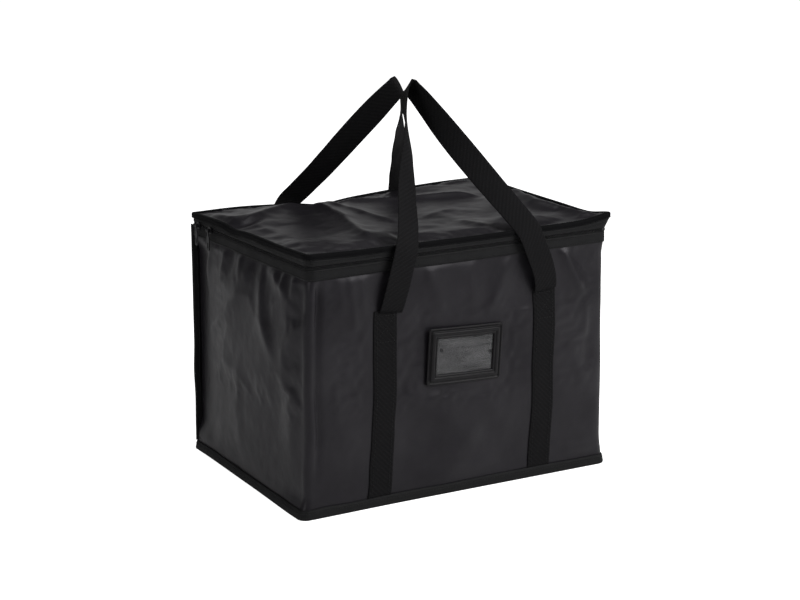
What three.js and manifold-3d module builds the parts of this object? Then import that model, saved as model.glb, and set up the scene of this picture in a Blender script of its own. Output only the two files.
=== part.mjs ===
// Soft insulated cooler bag: box-shaped body, zipped lid hinged at the back, two webbing handles.
// Millimetres, +Z up. The origin is the middle of the base, on the floor. The front face looks along -Y.
import * as THREE from "three";
import Module from "manifold-3d";

const wasm = await Module();
wasm.setup();
const { Manifold, Mesh } = wasm;

// Driving dimensions
const bodyWidth = 508;
const bodyDepth = 356;
const zipHeight = 363;
const lidRise = 18;
const layerGap = 0.3;
const frontCornerRadius = 10;
const rearCornerRadius = 2;
const cornerSteps = 6;

// Wall build-up
const shellThickness = 0.8;
const foamThickness = 7;
const foamDrop = 7;
const linerThickness = 0.5;
const boardThickness = 3;
const baseThickness = 1.2;

// Bound seams
const flangeReach = 4;
const seamClear = 1.5;
const seamBindingReach = 4.7;
const seamBindingThickness = 1;
const baseBindingHeight = 14;
const baseBindingThickness = 2.4;
const baseBindingRound = 1.1;
const lidBindingHeight = 8;
const lidBindingThickness = 2.4;
const lidBindingFold = 6;
const lidBindingLip = 0.8;
const lidBindingRound = 1.2;

// Zip
const bodyTapeHeight = 16;
const tapeThickness = 1;
const tapeRearGap = 6;
const coilThickness = 2.6;
const coilHeight = 1.5;
const coilRound = 0.5;
const coilRearGap = 14;
const stopLength = 4;
const stopThickness = 3;
const hingeTapeInset = 6;

// Zip sliders and pulls
const rearSliderGap = 13;
const sliderSpacing = 40;
const sliderLength = 10;
const sliderHeight = 11;
const sliderTailHeight = 7;
const sliderThickness = 1.6;
const lugThickness = 1.6;
const lugSpan = 4.6;
const lugReach = 5.4;
const lugHeight = 4;
const pinRadius = 0.9;
const pinSteps = 16;
const pullEyeRadius = 2.5;
const pullEyeBore = 1.3;
const pullEyeWidth = 3.8;
const pullNeckLength = 8;
const pullWidth = 8;
const pullLength = 30;
const pullThickness = 1.5;
const pullCorner = 2.5;
const pullSlotWidth = 3;
const pullSlotLength = 9;
const pullSlotMargin = 3;

// Lid
const lidShellThickness = 0.8;
const lidFoamThickness = 5;
const lidFoamInset = 1.5;

// Swell and main folds of the soft panels
const frontSwell = 8;
const sideSwell = 4.5;
const lidSag = 7;
const foldHeight = 5;
const foldWidth = 24;
const innerFoldShare = 0.5;
const swellRound = 0.7;
const swellRise = 0.8;
const reliefHem = 6;
const hemFade = 0.25;
const frontEdgeFade = 42;
const sideEdgeFade = 36;
const lidRim = 14;
const lidRimFade = 42;
const lowerRows = 4;
const upperRows = 2;
const sideColumns = 9;
const lidColumns = 13;
const lidRows = 9;
const labelMargin = 3;

// Webbing
const webWidth = 38;
const strapThickness = 1.6;
const strapX = 136;
const anchorDrop = 91;
const handleThickness = 1.8;
const handleStart = 0.6;
const handleClear = 2.9;
const handleLean = 39;
const handleLipInset = 34;
const handleLipDrop = 2;
const handleApexY = 17;
const handleRise = 190;
const handleApexRadius = 9;
const handleSteps = 56;
const frontHandleBow = 5;
const backHandleBow = 2;
const twistStart = 0.13;
const twistPower = 1.2;

// Label holder
const labelZ = 210;
const labelOpenWidth = 96;
const labelOpenHeight = 53;
const labelStepMargin = 9.5;
const labelFlangeMargin = 6;
const labelWindowLap = 7;
const labelBackInset = 2;
const labelBackThickness = 0.8;
const labelWindowThickness = 0.6;
const labelFrameThickness = 1.4;
const labelStepThickness = 1.1;
const labelCorner = 3;

const halfW = bodyWidth / 2;
const halfD = bodyDepth / 2;

// Heights of the zip, counted from the line where its two coils meet
const lowerCoilTop = zipHeight - layerGap / 2;
const lowerCoilBottom = lowerCoilTop - coilHeight;
const upperCoilBottom = zipHeight + layerGap / 2;
const upperCoilTop = upperCoilBottom + coilHeight;
const bodyTapeTop = lowerCoilBottom - layerGap;
const bodyTapeBottom = bodyTapeTop - bodyTapeHeight;
const lidTop = zipHeight + lidRise;
const lidBindingBottom = lidTop - lidBindingHeight;
const lidTapeBottom = upperCoilTop + layerGap;
const lidTapeTop = lidBindingBottom - layerGap;
const shellTop = bodyTapeTop;
const foamTop = shellTop - foamDrop;
const flangeBottom = baseBindingHeight + seamClear;
const flangeTop = bodyTapeBottom - seamClear;
const tapeEnd = halfD - tapeRearGap;
const coilEnd = halfD - coilRearGap;
const rearSliderY = coilEnd - rearSliderGap;
const frontSliderY = rearSliderY - sliderSpacing;
const strapBottom = baseBindingHeight + layerGap;
const anchorZ = lidTop - anchorDrop;
const labelEdge = labelStepMargin + labelFlangeMargin;

const finishes = {
  shell: { color: 0x17181a, roughness: 0.45 },
  tape: { color: 0x111214, roughness: 0.8 },
  coil: { color: 0x0c0d0e, roughness: 0.5 },
  webbing: { color: 0x131416, roughness: 0.85 },
  foam: { color: 0xe8e8e6, roughness: 0.9 },
  liner: { color: 0xc4c7ca, roughness: 0.3 },
  board: { color: 0x3a3b3d, roughness: 0.7 },
  metal: { color: 0x1a1b1d, roughness: 0.4 },
  vinyl: { color: 0x141517, roughness: 0.35 },
  clear: { color: 0x9a9da0, roughness: 0.15 },
};

const bag = new THREE.Group();
bag.name = "cooler_bag";

function addPiece(name, geometry, finish) {
  const material = new THREE.MeshStandardMaterial(finishes[finish]);
  material.name = finish;
  const mesh = new THREE.Mesh(geometry, material);
  mesh.name = name;
  bag.add(mesh);
}

function boxBetween(x0, x1, y0, y1, z0, z1) {
  const geometry = new THREE.BoxGeometry(x1 - x0, y1 - y0, z1 - z0);
  geometry.translate((x0 + x1) / 2, (y0 + y1) / 2, (z0 + z1) / 2);
  return geometry;
}

// A prism over a plan outline, with or without holes, between two heights.
function prism(outline, holes, z0, z1) {
  const shape = new THREE.Shape(outline.map(([x, y]) => new THREE.Vector2(x, y)));
  for (const hole of holes) {
    shape.holes.push(new THREE.Path(hole.map(([x, y]) => new THREE.Vector2(x, y))));
  }
  const geometry = new THREE.ExtrudeGeometry(shape, { depth: z1 - z0, bevelEnabled: false });
  geometry.translate(0, 0, z0);
  return geometry;
}

// A prism over an outline given as (x, z), running from y0 to y1.
function prismAlongY(outline, holes, y0, y1) {
  const geometry = prism(outline, holes, 0, y1 - y0);
  geometry.rotateX(Math.PI / 2);
  geometry.translate(0, y1, 0);
  return geometry;
}

function arc(cx, cy, radius, from, to, steps = cornerSteps) {
  const points = [];
  for (let i = 0; i <= steps; i += 1) {
    const angle = ((from + ((to - from) * i) / steps) * Math.PI) / 180;
    points.push([cx + radius * Math.cos(angle), cy + radius * Math.sin(angle)]);
  }
  return points;
}

// The bag's plan outline, moved outward by an offset.
function planOutline(offset) {
  const front = frontCornerRadius;
  const rear = rearCornerRadius;
  return [
    ...arc(-halfW + front, -halfD + front, front + offset, 180, 270),
    ...arc(halfW - front, -halfD + front, front + offset, 270, 360),
    ...arc(halfW - rear, halfD - rear, rear + offset, 0, 90),
    ...arc(-halfW + rear, halfD - rear, rear + offset, 90, 180),
  ];
}

// The path along the left, front and right faces, moved outward by an offset, with both ends at rearY.
function wrapPath(offset, rearY) {
  const front = frontCornerRadius;
  return [
    [-halfW - offset, rearY],
    ...arc(-halfW + front, -halfD + front, front + offset, 180, 270),
    ...arc(halfW - front, -halfD + front, front + offset, 270, 360),
    [halfW + offset, rearY],
  ];
}

// A section with its outer corners rounded, as (offset, z) pairs.
function roundedSection(inner, outer, z0, z1, round) {
  return [
    [inner, z0],
    ...arc(outer - round, z0 + round, round, -90, 0, 4),
    ...arc(outer - round, z1 - round, round, 0, 90, 4),
    [inner, z1],
  ];
}

// Skins a grid of points: rows follow the section, columns the path. Open paths get flat ends.
function skin(rows, closed) {
  const count = rows[0].length;
  const corners = rows.flat(2);
  const faces = [];
  const at = (row, column) => (row % rows.length) * count + (column % count);
  const spans = closed ? count : count - 1;
  for (let r = 0; r < rows.length; r += 1) {
    for (let c = 0; c < spans; c += 1) {
      faces.push([at(r, c), at(r, c + 1), at(r + 1, c + 1)], [at(r, c), at(r + 1, c + 1), at(r + 1, c)]);
    }
  }
  if (!closed) {
    for (let r = 1; r < rows.length - 1; r += 1) {
      faces.push([at(0, 0), at(r, 0), at(r + 1, 0)]);
      faces.push([at(0, count - 1), at(r + 1, count - 1), at(r, count - 1)]);
    }
  }
  const geometry = new THREE.BufferGeometry();
  geometry.setAttribute("position", new THREE.Float32BufferAttribute(corners, 3));
  geometry.setIndex(faces.flat());
  geometry.computeVertexNormals();
  return geometry;
}

// A band swept all round the plan outline.
function sweptRing(section) {
  return skin(section.map(([offset, z]) => planOutline(offset).map(([x, y]) => [x, y, z])), true);
}

// A strip swept along the left, front and right faces.
function sweptStrip(section, rearY) {
  return skin(section.map(([offset, z]) => wrapPath(offset, rearY).map(([x, y]) => [x, y, z])), false);
}

function flatSection(inner, outer, z0, z1) {
  return [
    [inner, z0],
    [outer, z0],
    [outer, z1],
    [inner, z1],
  ];
}

// The inner edge of tape folded over the lid: the plan outline moved inward, with square rear corners.
function foldedEdge(width) {
  const front = Math.max(frontCornerRadius - width, 1);
  return [
    ...arc(-halfW + width + front, -halfD + width + front, front, 180, 270),
    ...arc(halfW - width - front, -halfD + width + front, front, 270, 360),
    [halfW - width, halfD - width],
    [-halfW + width, halfD - width],
  ];
}

function roundedRect(width, height, radius, cx, cy) {
  const x = width / 2 - radius;
  const y = height / 2 - radius;
  return [
    ...arc(cx - x, cy - y, radius, 180, 270, 4),
    ...arc(cx + x, cy - y, radius, 270, 360, 4),
    ...arc(cx + x, cy + y, radius, 0, 90, 4),
    ...arc(cx - x, cy + y, radius, 90, 180, 4),
  ];
}

function toSolid(geometry) {
  const source = geometry.index ? geometry.toNonIndexed() : geometry;
  const position = source.getAttribute("position");
  const known = new Map();
  const corners = [];
  const faces = [];
  for (let i = 0; i < position.count; i += 1) {
    const point = [position.getX(i), position.getY(i), position.getZ(i)];
    const key = point.map((value) => Math.round(value * 1e4)).join(",");
    if (!known.has(key)) {
      known.set(key, corners.length / 3);
      corners.push(...point);
    }
    faces.push(known.get(key));
  }
  const triangles = [];
  for (let i = 0; i < faces.length; i += 3) {
    const [a, b, c] = faces.slice(i, i + 3);
    if (a !== b && b !== c && c !== a) {
      triangles.push(a, b, c);
    }
  }
  const mesh = new Mesh({
    numProp: 3,
    vertProperties: new Float32Array(corners),
    triVerts: new Uint32Array(triangles),
  });
  return new Manifold(mesh);
}

function toGeometry(solid) {
  const mesh = solid.getMesh();
  const geometry = new THREE.BufferGeometry();
  geometry.setAttribute("position", new THREE.BufferAttribute(new Float32Array(mesh.vertProperties), 3));
  geometry.setIndex(new THREE.BufferAttribute(new Uint32Array(mesh.triVerts), 1));
  geometry.computeVertexNormals();
  return geometry;
}

function union(...geometries) {
  return toGeometry(Manifold.union(geometries.map(toSolid)));
}

function difference(geometry, ...cutters) {
  return toGeometry(Manifold.difference([toSolid(geometry), ...cutters.map(toSolid)]));
}

// A closed sheet between an outer and an inner grid of points, both with the same rows and columns.
function sheetBetween(outer, inner) {
  const rows = outer.length;
  const count = outer[0].length;
  const lastRow = rows - 1;
  const lastColumn = count - 1;
  const out = (r, c) => r * count + c;
  const back = (r, c) => (rows + r) * count + c;
  const faces = [];
  const quad = (a, b, c, d) => faces.push(a, b, c, a, c, d);
  for (let r = 0; r < lastRow; r += 1) {
    for (let c = 0; c < lastColumn; c += 1) {
      quad(out(r, c), out(r, c + 1), out(r + 1, c + 1), out(r + 1, c));
      quad(back(r, c), back(r + 1, c), back(r + 1, c + 1), back(r, c + 1));
    }
    quad(out(r, 0), out(r + 1, 0), back(r + 1, 0), back(r, 0));
    quad(back(r, lastColumn), back(r + 1, lastColumn), out(r + 1, lastColumn), out(r, lastColumn));
  }
  for (let c = 0; c < lastColumn; c += 1) {
    quad(back(0, c), back(0, c + 1), out(0, c + 1), out(0, c));
    quad(out(lastRow, c), out(lastRow, c + 1), back(lastRow, c + 1), back(lastRow, c));
  }
  const geometry = new THREE.BufferGeometry();
  const corners = [...outer.flat(2), ...inner.flat(2)];
  geometry.setAttribute("position", new THREE.Float32BufferAttribute(corners, 3));
  geometry.setIndex(faces);
  geometry.computeVertexNormals();
  return geometry;
}

function smooth(value, from, to) {
  const t = Math.min(1, Math.max(0, (value - from) / (to - from)));
  return t * t * (3 - 2 * t);
}

function evenly(from, to, spans) {
  return Array.from({ length: spans + 1 }, (_, i) => from + ((to - from) * i) / spans);
}

// How high the folds stand at a place. A fold is a ridge along points given in shares of the panel.
function foldLift(folds, place, scale) {
  const point = new THREE.Vector2(place[0] * scale[0], place[1] * scale[1]);
  let lift = 0;
  for (const fold of folds) {
    const line = fold.map(([a, b]) => new THREE.Vector2(a * scale[0], b * scale[1]));
    let nearest = Infinity;
    for (let i = 0; i + 1 < line.length; i += 1) {
      const along = line[i + 1].clone().sub(line[i]);
      const reach = point.clone().sub(line[i]).dot(along) / along.lengthSq();
      const foot = line[i].clone().addScaledVector(along, Math.min(1, Math.max(0, reach)));
      nearest = Math.min(nearest, foot.distanceTo(point));
    }
    lift += foldHeight * Math.exp(-((nearest / foldWidth) ** 2));
  }
  return Math.min(lift, foldHeight);
}

// Shares run from -1 to 1 across a panel; on the walls they run from 0 at the hem to 1 under the zip tape.
const leftFolds = [
  [[-0.1, 0.95], [0.28, 0.72], [0.85, 0.48]],
  [[-0.19, 0.95], [-0.3, 0.75], [-0.1, 0.56], [0.17, 0.43], [0.25, 0.1]],
  [[-0.9, 0.9], [-0.62, 0.58], [-0.7, 0.25]],
];
const rightFolds = [
  [[0.05, 0.95], [-0.1, 0.4]],
  [[0.8, 0.9], [0.55, 0.3]],
  [[-0.6, 0.9], [-0.45, 0.15]],
];
const frontFolds = [
  [[-0.44, 0.45], [-0.05, 0.18]],
  [[0.68, 0.95], [0.84, 0.75], [0.8, 0.3]],
  [[-0.8, 0.9], [-0.75, 0.3]],
];
const lidFolds = [
  [[-0.3, 0.72], [0.24, 0.42], [0.68, 0.31], [0.58, -0.17]],
  [[-0.82, 0.36], [-0.55, 0.53], [-0.41, 0.22], [-0.4, -0.25], [-0.48, -0.75]],
  [[0.86, 0.3], [0.84, -0.6]],
];
const wallLow = baseBindingHeight + reliefHem;
const wallHigh = bodyTapeBottom - reliefHem;
const labelHalf = labelOpenWidth / 2 + labelEdge + labelMargin;
const labelLow = labelZ - labelOpenHeight / 2 - labelEdge - labelMargin;
const labelHigh = labelZ + labelOpenHeight / 2 + labelEdge + labelMargin;
const strapInner = strapX - webWidth / 2;
const strapOuter = strapX + webWidth / 2;

function swellShare(across, up) {
  return Math.cos((across * Math.PI) / 2) ** swellRound * Math.sin(up * Math.PI) ** swellRise;
}

function upShare(z) {
  return Math.min(1, Math.max(0, (z - wallLow) / (wallHigh - wallLow)));
}

// How free a wall's folds are at a height: not at all at the hem and under the zip tape.
function heldShare(up) {
  return Math.max(0, Math.min(1, up / hemFade, (1 - up) / hemFade));
}

// How far the front stands out. It is flat under the label and straight across under each strap.
function frontStand(x, z) {
  if (Math.abs(x) <= labelHalf && z >= labelLow && z <= labelHigh) {
    return frontSwell;
  }
  const aside = Math.abs(x);
  const straight = aside >= strapInner && aside <= strapOuter ? Math.sign(x) * strapX : x;
  const place = [straight / halfW, upShare(z)];
  const folds = foldLift(frontFolds, place, [halfW, wallHigh - wallLow]);
  const share = aside < strapInner ? innerFoldShare : smooth(halfW - aside, frontCornerRadius, frontEdgeFade);
  return frontSwell * swellShare(...place) + folds * heldShare(place[1]) * share;
}

function sideStand(folds, y, z) {
  const place = [Math.min(1, Math.max(-1, y / halfD)), upShare(z)];
  const lift = foldLift(folds, place, [halfD, wallHigh - wallLow]);
  const held = heldShare(place[1]) * smooth(halfD - Math.abs(y), 0, sideEdgeFade);
  return sideSwell * swellShare(...place) + lift * held;
}

// How far the lid lies over or under its flat height. Its rim is flat.
function lidLie(x, y) {
  const inX = halfW - lidRim - Math.abs(x);
  const inY = halfD - lidRim - Math.abs(y);
  const rim = Math.min(inX, inY);
  if (rim <= 0) {
    return 0;
  }
  const place = [x / halfW, y / halfD];
  const [hollowX, hollowY] = place.map((share) => Math.cos((share * Math.PI) / 2));
  const sag = lidSag * (hollowX * hollowY) ** swellRound;
  return (foldLift(lidFolds, place, [halfW, halfD]) - sag) * smooth(rim, 0, lidRimFade);
}

const wallHeights = [
  ...evenly(wallLow, labelLow, lowerRows),
  labelHigh,
  ...evenly(anchorZ, wallHigh, upperRows),
];

// The wrap's path with its outward directions and the relief of the face that each point is on.
function wrapColumns(rearY) {
  const sideY = evenly(rearY, -halfD + frontCornerRadius, sideColumns).slice(0, -1);
  const frontX = [-strapOuter, -strapInner, -labelHalf, 0, labelHalf, strapInner, strapOuter];
  const outerX = (halfW - frontCornerRadius + strapOuter) / 2;
  const turn = (sign, from) => arc(0, 0, 1, from, from + 90).map(([x, y]) => ({
    at: [sign * (halfW - frontCornerRadius) + frontCornerRadius * x, -halfD + frontCornerRadius * (1 + y)],
    out: [x, y],
    stand: () => 0,
  }));
  const side = (sign, folds) => sideY.map((y) => ({
    at: [sign * halfW, y],
    out: [sign, 0],
    stand: (z) => sideStand(folds, y, z),
  }));
  const front = [-outerX, ...frontX, outerX].map((x) => ({
    at: [x, -halfD],
    out: [0, -1],
    stand: (z) => frontStand(x, z),
  }));
  const [left, right] = [side(-1, leftFolds), side(1, rightFolds).reverse()];
  return [...left, ...turn(-1, 180), ...front, ...turn(1, 270), ...right];
}

// Outer fabric: one sheet folded round the front corners, with seam flanges standing out at the rear
const backOuterFace = halfD;
const backInnerFace = halfD - shellThickness;
const flangeY1 = backInnerFace - layerGap;
const flangeY0 = flangeY1 - shellThickness;
const shellBottom = baseThickness + layerGap;
const wrapInner = halfW - shellThickness;
function wrapFace(offset) {
  const columns = wrapColumns(flangeY1);
  return [shellBottom, ...wallHeights, shellTop].map((z) => columns.map(({ at, out, stand }) => {
    const reach = offset + stand(z);
    return [at[0] + reach * out[0], at[1] + reach * out[1], z];
  }));
}
addPiece(
  "outer_wrap",
  union(
    sheetBetween(wrapFace(0), wrapFace(-shellThickness)),
    boxBetween(-halfW - flangeReach, -wrapInner, flangeY0, flangeY1, flangeBottom, flangeTop),
    boxBetween(wrapInner, halfW + flangeReach, flangeY0, flangeY1, flangeBottom, flangeTop),
  ),
  "shell",
);
const flangeEdge = halfW + flangeReach;
const backEdge = halfW - rearCornerRadius;
addPiece(
  "back_outer",
  prismAlongY(
    [
      [-backEdge, shellBottom],
      [backEdge, shellBottom],
      [backEdge, flangeBottom],
      [flangeEdge, flangeBottom],
      [flangeEdge, flangeTop],
      [backEdge, flangeTop],
      [backEdge, shellTop],
      [-backEdge, shellTop],
      [-backEdge, flangeTop],
      [-flangeEdge, flangeTop],
      [-flangeEdge, flangeBottom],
      [-backEdge, flangeBottom],
    ],
    [],
    backInnerFace,
    backOuterFace,
  ),
  "shell",
);
addPiece("base_outer", prism(planOutline(0), [], 0, baseThickness), "shell");

// Foam panels
const foamOuterX = wrapInner - layerGap;
const foamInnerX = foamOuterX - foamThickness;
const foamOuterY = halfD - shellThickness - layerGap;
const foamInnerY = foamOuterY - foamThickness;
const baseFoamTop = shellBottom + foamThickness;
const wallFoamBottom = baseFoamTop + layerGap;
const foldX = halfW - frontCornerRadius;
addPiece(
  "base_foam",
  prism(planOutline(-shellThickness - layerGap), [], shellBottom, baseFoamTop),
  "foam",
);
const foldY = halfD - frontCornerRadius;
const foamFoldRadius = frontCornerRadius - shellThickness - 3 * layerGap;
const chamferY = foamInnerY + foamThickness / 3;
const chamferX = foldX + Math.sqrt(foamFoldRadius ** 2 - (chamferY - foldY) ** 2);
addPiece(
  "front_foam",
  prism(
    [
      [-foldX, -foamOuterY],
      [foldX, -foamOuterY],
      [chamferX, -chamferY],
      [chamferX, -foamInnerY],
      [-chamferX, -foamInnerY],
      [-chamferX, -chamferY],
    ],
    [],
    wallFoamBottom,
    foamTop,
  ),
  "foam",
);
const backFoam = boxBetween(-foamOuterX, foamOuterX, foamInnerY, foamOuterY, wallFoamBottom, foamTop);
addPiece("back_foam", backFoam, "foam");
const sideFoamRear = foamInnerY - layerGap;
const sideFoamFront = Math.min(sideFoamRear, foldY);
for (const [name, side] of [["left_foam", -1], ["right_foam", 1]]) {
  const a = side * foamOuterX;
  const b = side * foamInnerX;
  const [x0, x1] = [Math.min(a, b), Math.max(a, b)];
  const panel = boxBetween(x0, x1, -sideFoamFront, sideFoamRear, wallFoamBottom, foamTop);
  addPiece(name, panel, "foam");
}

// Stiffening board and inner lining
const liningX = foamInnerX - layerGap;
const liningY = foamInnerY - layerGap;
const boardTop = wallFoamBottom + boardThickness;
addPiece("base_board", boxBetween(-liningX, liningX, -liningY, liningY, wallFoamBottom, boardTop), "board");
const liningFloor = boardTop + layerGap;
const liningTop = foamTop + layerGap + linerThickness;
const liningTub = difference(
  boxBetween(-liningX, liningX, -liningY, liningY, liningFloor, liningTop),
  boxBetween(
    -liningX + linerThickness,
    liningX - linerThickness,
    -liningY + linerThickness,
    liningY - linerThickness,
    liningFloor + linerThickness,
    liningTop + 10,
  ),
);
const mouthX = liningX - linerThickness;
const mouthY = liningY - linerThickness;
const liningRim = prism(
  planOutline(-shellThickness - layerGap),
  [
    [
      [-mouthX, -mouthY],
      [mouthX, -mouthY],
      [mouthX, mouthY],
      [-mouthX, mouthY],
    ],
  ],
  liningTop - linerThickness,
  liningTop,
);
addPiece("inner_liner", union(liningTub, liningRim), "liner");

// Seam bindings
const bindingFront = flangeY0 - layerGap - seamBindingThickness;
const bindingRear = backOuterFace + layerGap + seamBindingThickness;
const bindingTip = flangeEdge + layerGap + seamBindingThickness;
const bindingMouth = bindingTip - seamBindingReach;
for (const [name, side] of [["rear_left_binding", -1], ["rear_right_binding", 1]]) {
  const channel = [
    [bindingMouth, bindingFront],
    [bindingTip, bindingFront],
    [bindingTip, bindingRear],
    [bindingMouth, bindingRear],
    [bindingMouth, backOuterFace + layerGap],
    [flangeEdge + layerGap, backOuterFace + layerGap],
    [flangeEdge + layerGap, flangeY0 - layerGap],
    [bindingMouth, flangeY0 - layerGap],
  ];
  const turned = side > 0 ? channel : channel.map(([x, y]) => [-x, y]).reverse();
  addPiece(name, prism(turned, [], flangeBottom, flangeTop), "tape");
}
const baseBindingOuter = layerGap + baseBindingThickness;
addPiece(
  "base_binding",
  sweptRing(roundedSection(layerGap, baseBindingOuter, 0, baseBindingHeight, baseBindingRound)),
  "tape",
);

// Zip, body half
const tapeInner = layerGap;
const tapeOuter = layerGap + tapeThickness;
addPiece(
  "body_zip_tape",
  sweptStrip(flatSection(tapeInner, tapeOuter, bodyTapeBottom, bodyTapeTop), tapeEnd),
  "tape",
);
addPiece(
  "lower_coil",
  sweptStrip(roundedSection(0, coilThickness, lowerCoilBottom, lowerCoilTop, coilRound), coilEnd),
  "coil",
);
for (const [name, side] of [["left_zip_stop", -1], ["right_zip_stop", 1]]) {
  const near = side * halfW;
  const far = side * (halfW + stopThickness);
  const y0 = coilEnd + layerGap;
  const stop = boxBetween(
    Math.min(near, far),
    Math.max(near, far),
    y0,
    y0 + stopLength,
    lowerCoilBottom,
    upperCoilTop,
  );
  addPiece(name, stop, "metal");
}
addPiece(
  "hinge_tape",
  boxBetween(
    -halfW + hingeTapeInset,
    halfW - hingeTapeInset,
    halfD + layerGap,
    halfD + layerGap + tapeThickness,
    bodyTapeBottom,
    lidBindingBottom - 2 * layerGap,
  ),
  "tape",
);

// Lid
const lidShellTop = lidTop - lidBindingLip - layerGap;
const lidShellBottom = lidShellTop - lidShellThickness;
const lidFoamTop = lidShellBottom - layerGap;
const lidFoamBottom = lidFoamTop - lidFoamThickness;
const lidLinerTop = lidFoamBottom - layerGap;
const lidEdge = -layerGap;
addPiece(
  "upper_coil",
  sweptStrip(roundedSection(0, coilThickness, upperCoilBottom, upperCoilTop, coilRound), coilEnd),
  "coil",
);
addPiece(
  "lid_zip_tape",
  sweptStrip(flatSection(tapeInner, tapeOuter, lidTapeBottom, lidTapeTop), tapeEnd),
  "tape",
);

// A layer of the lid between two heights, moved inward from the plan outline, that lies as the lid does.
function lidLayer(inset, z0, z1) {
  const front = frontCornerRadius - inset;
  const rear = Math.max(rearCornerRadius - inset, 0.2);
  const [edgeX, edgeY] = [halfW - inset, halfD - inset];
  const ends = arc(edgeX - front, 0, front, 0, 90).map(([x]) => x).slice(0, -1);
  const middle = evenly(-halfW + lidRim, halfW - lidRim, lidColumns);
  const columns = [...ends.map((x) => -x), ...middle, ...ends.reverse()];
  const round = (x, radius) => {
    const over = Math.max(Math.abs(x) - (edgeX - radius), 0);
    return edgeY - radius + Math.sqrt(Math.max(radius ** 2 - over ** 2, 0));
  };
  const inner = evenly(-halfD + lidRim, halfD - lidRim, lidRows);
  const face = (z) => evenly(0, lidRows + 2, lidRows + 2).map((r) => columns.map((x) => {
    const y = r === 0 ? -round(x, front) : r === lidRows + 2 ? round(x, rear) : inner[r - 1];
    return [x, y, z + lidLie(x, y)];
  }));
  return sheetBetween(face(z1), face(z0));
}
addPiece("lid_outer", lidLayer(-lidEdge, lidShellBottom, lidShellTop), "shell");
addPiece("lid_foam", lidLayer(lidFoamInset, lidFoamBottom, lidFoamTop), "foam");
addPiece("lid_liner", lidLayer(-lidEdge, lidLinerTop - linerThickness, lidLinerTop), "liner");
const lidCover = sweptRing(roundedSection(0, lidBindingThickness, lidBindingBottom, lidTop, lidBindingRound));
const lidFold = prism(
  planOutline(lidBindingThickness - lidBindingRound),
  [foldedEdge(lidBindingFold)],
  lidTop - lidBindingLip,
  lidTop,
);
addPiece("lid_binding", union(lidCover, lidFold), "tape");

// Zip sliders with their pulls, on the left side near the rear corner
const plateInner = halfW + coilThickness + layerGap;
const plateOuter = plateInner + sliderThickness;
const pinX = -plateOuter - lugReach / 2;
const lugTop = zipHeight + lugHeight / 2;
const lugBottom = zipHeight - lugHeight / 2;
const lugRoot = -plateOuter + sliderThickness / 4;

// A prism over an outline given as (y, z), running from x0 to x1.
function prismAlongX(outline, holes, x0, x1) {
  const geometry = prism(outline, holes, 0, x1 - x0);
  geometry.rotateX(Math.PI / 2);
  geometry.rotateZ(Math.PI / 2);
  geometry.translate(x0, 0, 0);
  return geometry;
}

for (const [place, y] of [["front", frontSliderY], ["rear", rearSliderY]]) {
  const lugInner = lugSpan / 2;
  const lugOuter = lugInner + lugThickness;
  const lugFar = -plateOuter - lugReach;
  const turn = place === "front" ? 1 : -1;
  const nose = y + (turn * sliderLength) / 2;
  const tail = y - (turn * sliderLength) / 2;
  const shoulder = y + (turn * sliderLength) / 8;
  const shield = [
    [tail, zipHeight - sliderTailHeight / 2],
    [shoulder, zipHeight - sliderHeight / 2],
    [nose, zipHeight - sliderTailHeight / 2],
    [nose, zipHeight + sliderTailHeight / 2],
    [shoulder, zipHeight + sliderHeight / 2],
    [tail, zipHeight + sliderTailHeight / 2],
  ];
  const plate = prismAlongX(turn > 0 ? shield : shield.reverse(), [], -plateOuter, -plateInner);
  const nearLug = boxBetween(lugFar, lugRoot, y - lugOuter, y - lugInner, lugBottom, lugTop);
  const farLug = boxBetween(lugFar, lugRoot, y + lugInner, y + lugOuter, lugBottom, lugTop);
  const pinOutline = arc(pinX, zipHeight, pinRadius, 0, 360 - 360 / pinSteps, pinSteps - 1);
  const pinEnd = lugInner + lugThickness / 3;
  const pin = prismAlongY(pinOutline, [], y - pinEnd, y + pinEnd);
  addPiece(`${place}_slider`, union(plate, nearLug, farLug, pin), "metal");

  const eyeOutline = arc(pinX, zipHeight, pullEyeRadius, 0, 360 - 360 / pinSteps, pinSteps - 1);
  const boreOutline = arc(pinX, zipHeight, pullEyeBore, 0, 360 - 360 / pinSteps, pinSteps - 1);
  const eye = prismAlongY(eyeOutline, [boreOutline], y - pullEyeWidth / 2, y + pullEyeWidth / 2);
  const neckTop = zipHeight - (pullEyeRadius + pullEyeBore) / 2;
  const tabTop = zipHeight - pullNeckLength;
  const tabBottom = zipHeight - pullLength;
  const pullFace = pinX - pullThickness / 2;
  const pullBack = pinX + pullThickness / 2;
  const neck = boxBetween(
    pullFace,
    pullBack,
    y - pullEyeWidth / 2,
    y + pullEyeWidth / 2,
    tabTop - pullCorner,
    neckTop,
  );
  const tabOutline = roundedRect(pullWidth, tabTop - tabBottom, pullCorner, y, (tabTop + tabBottom) / 2);
  const slotMiddle = tabBottom + pullSlotMargin + pullSlotLength / 2;
  const slot = roundedRect(pullSlotWidth, pullSlotLength, pullSlotWidth / 2.2, y, slotMiddle);
  const tab = prismAlongX(tabOutline, [slot], pullFace, pullBack);
  addPiece(`${place}_pull`, union(eye, neck, tab), "metal");
}

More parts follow.
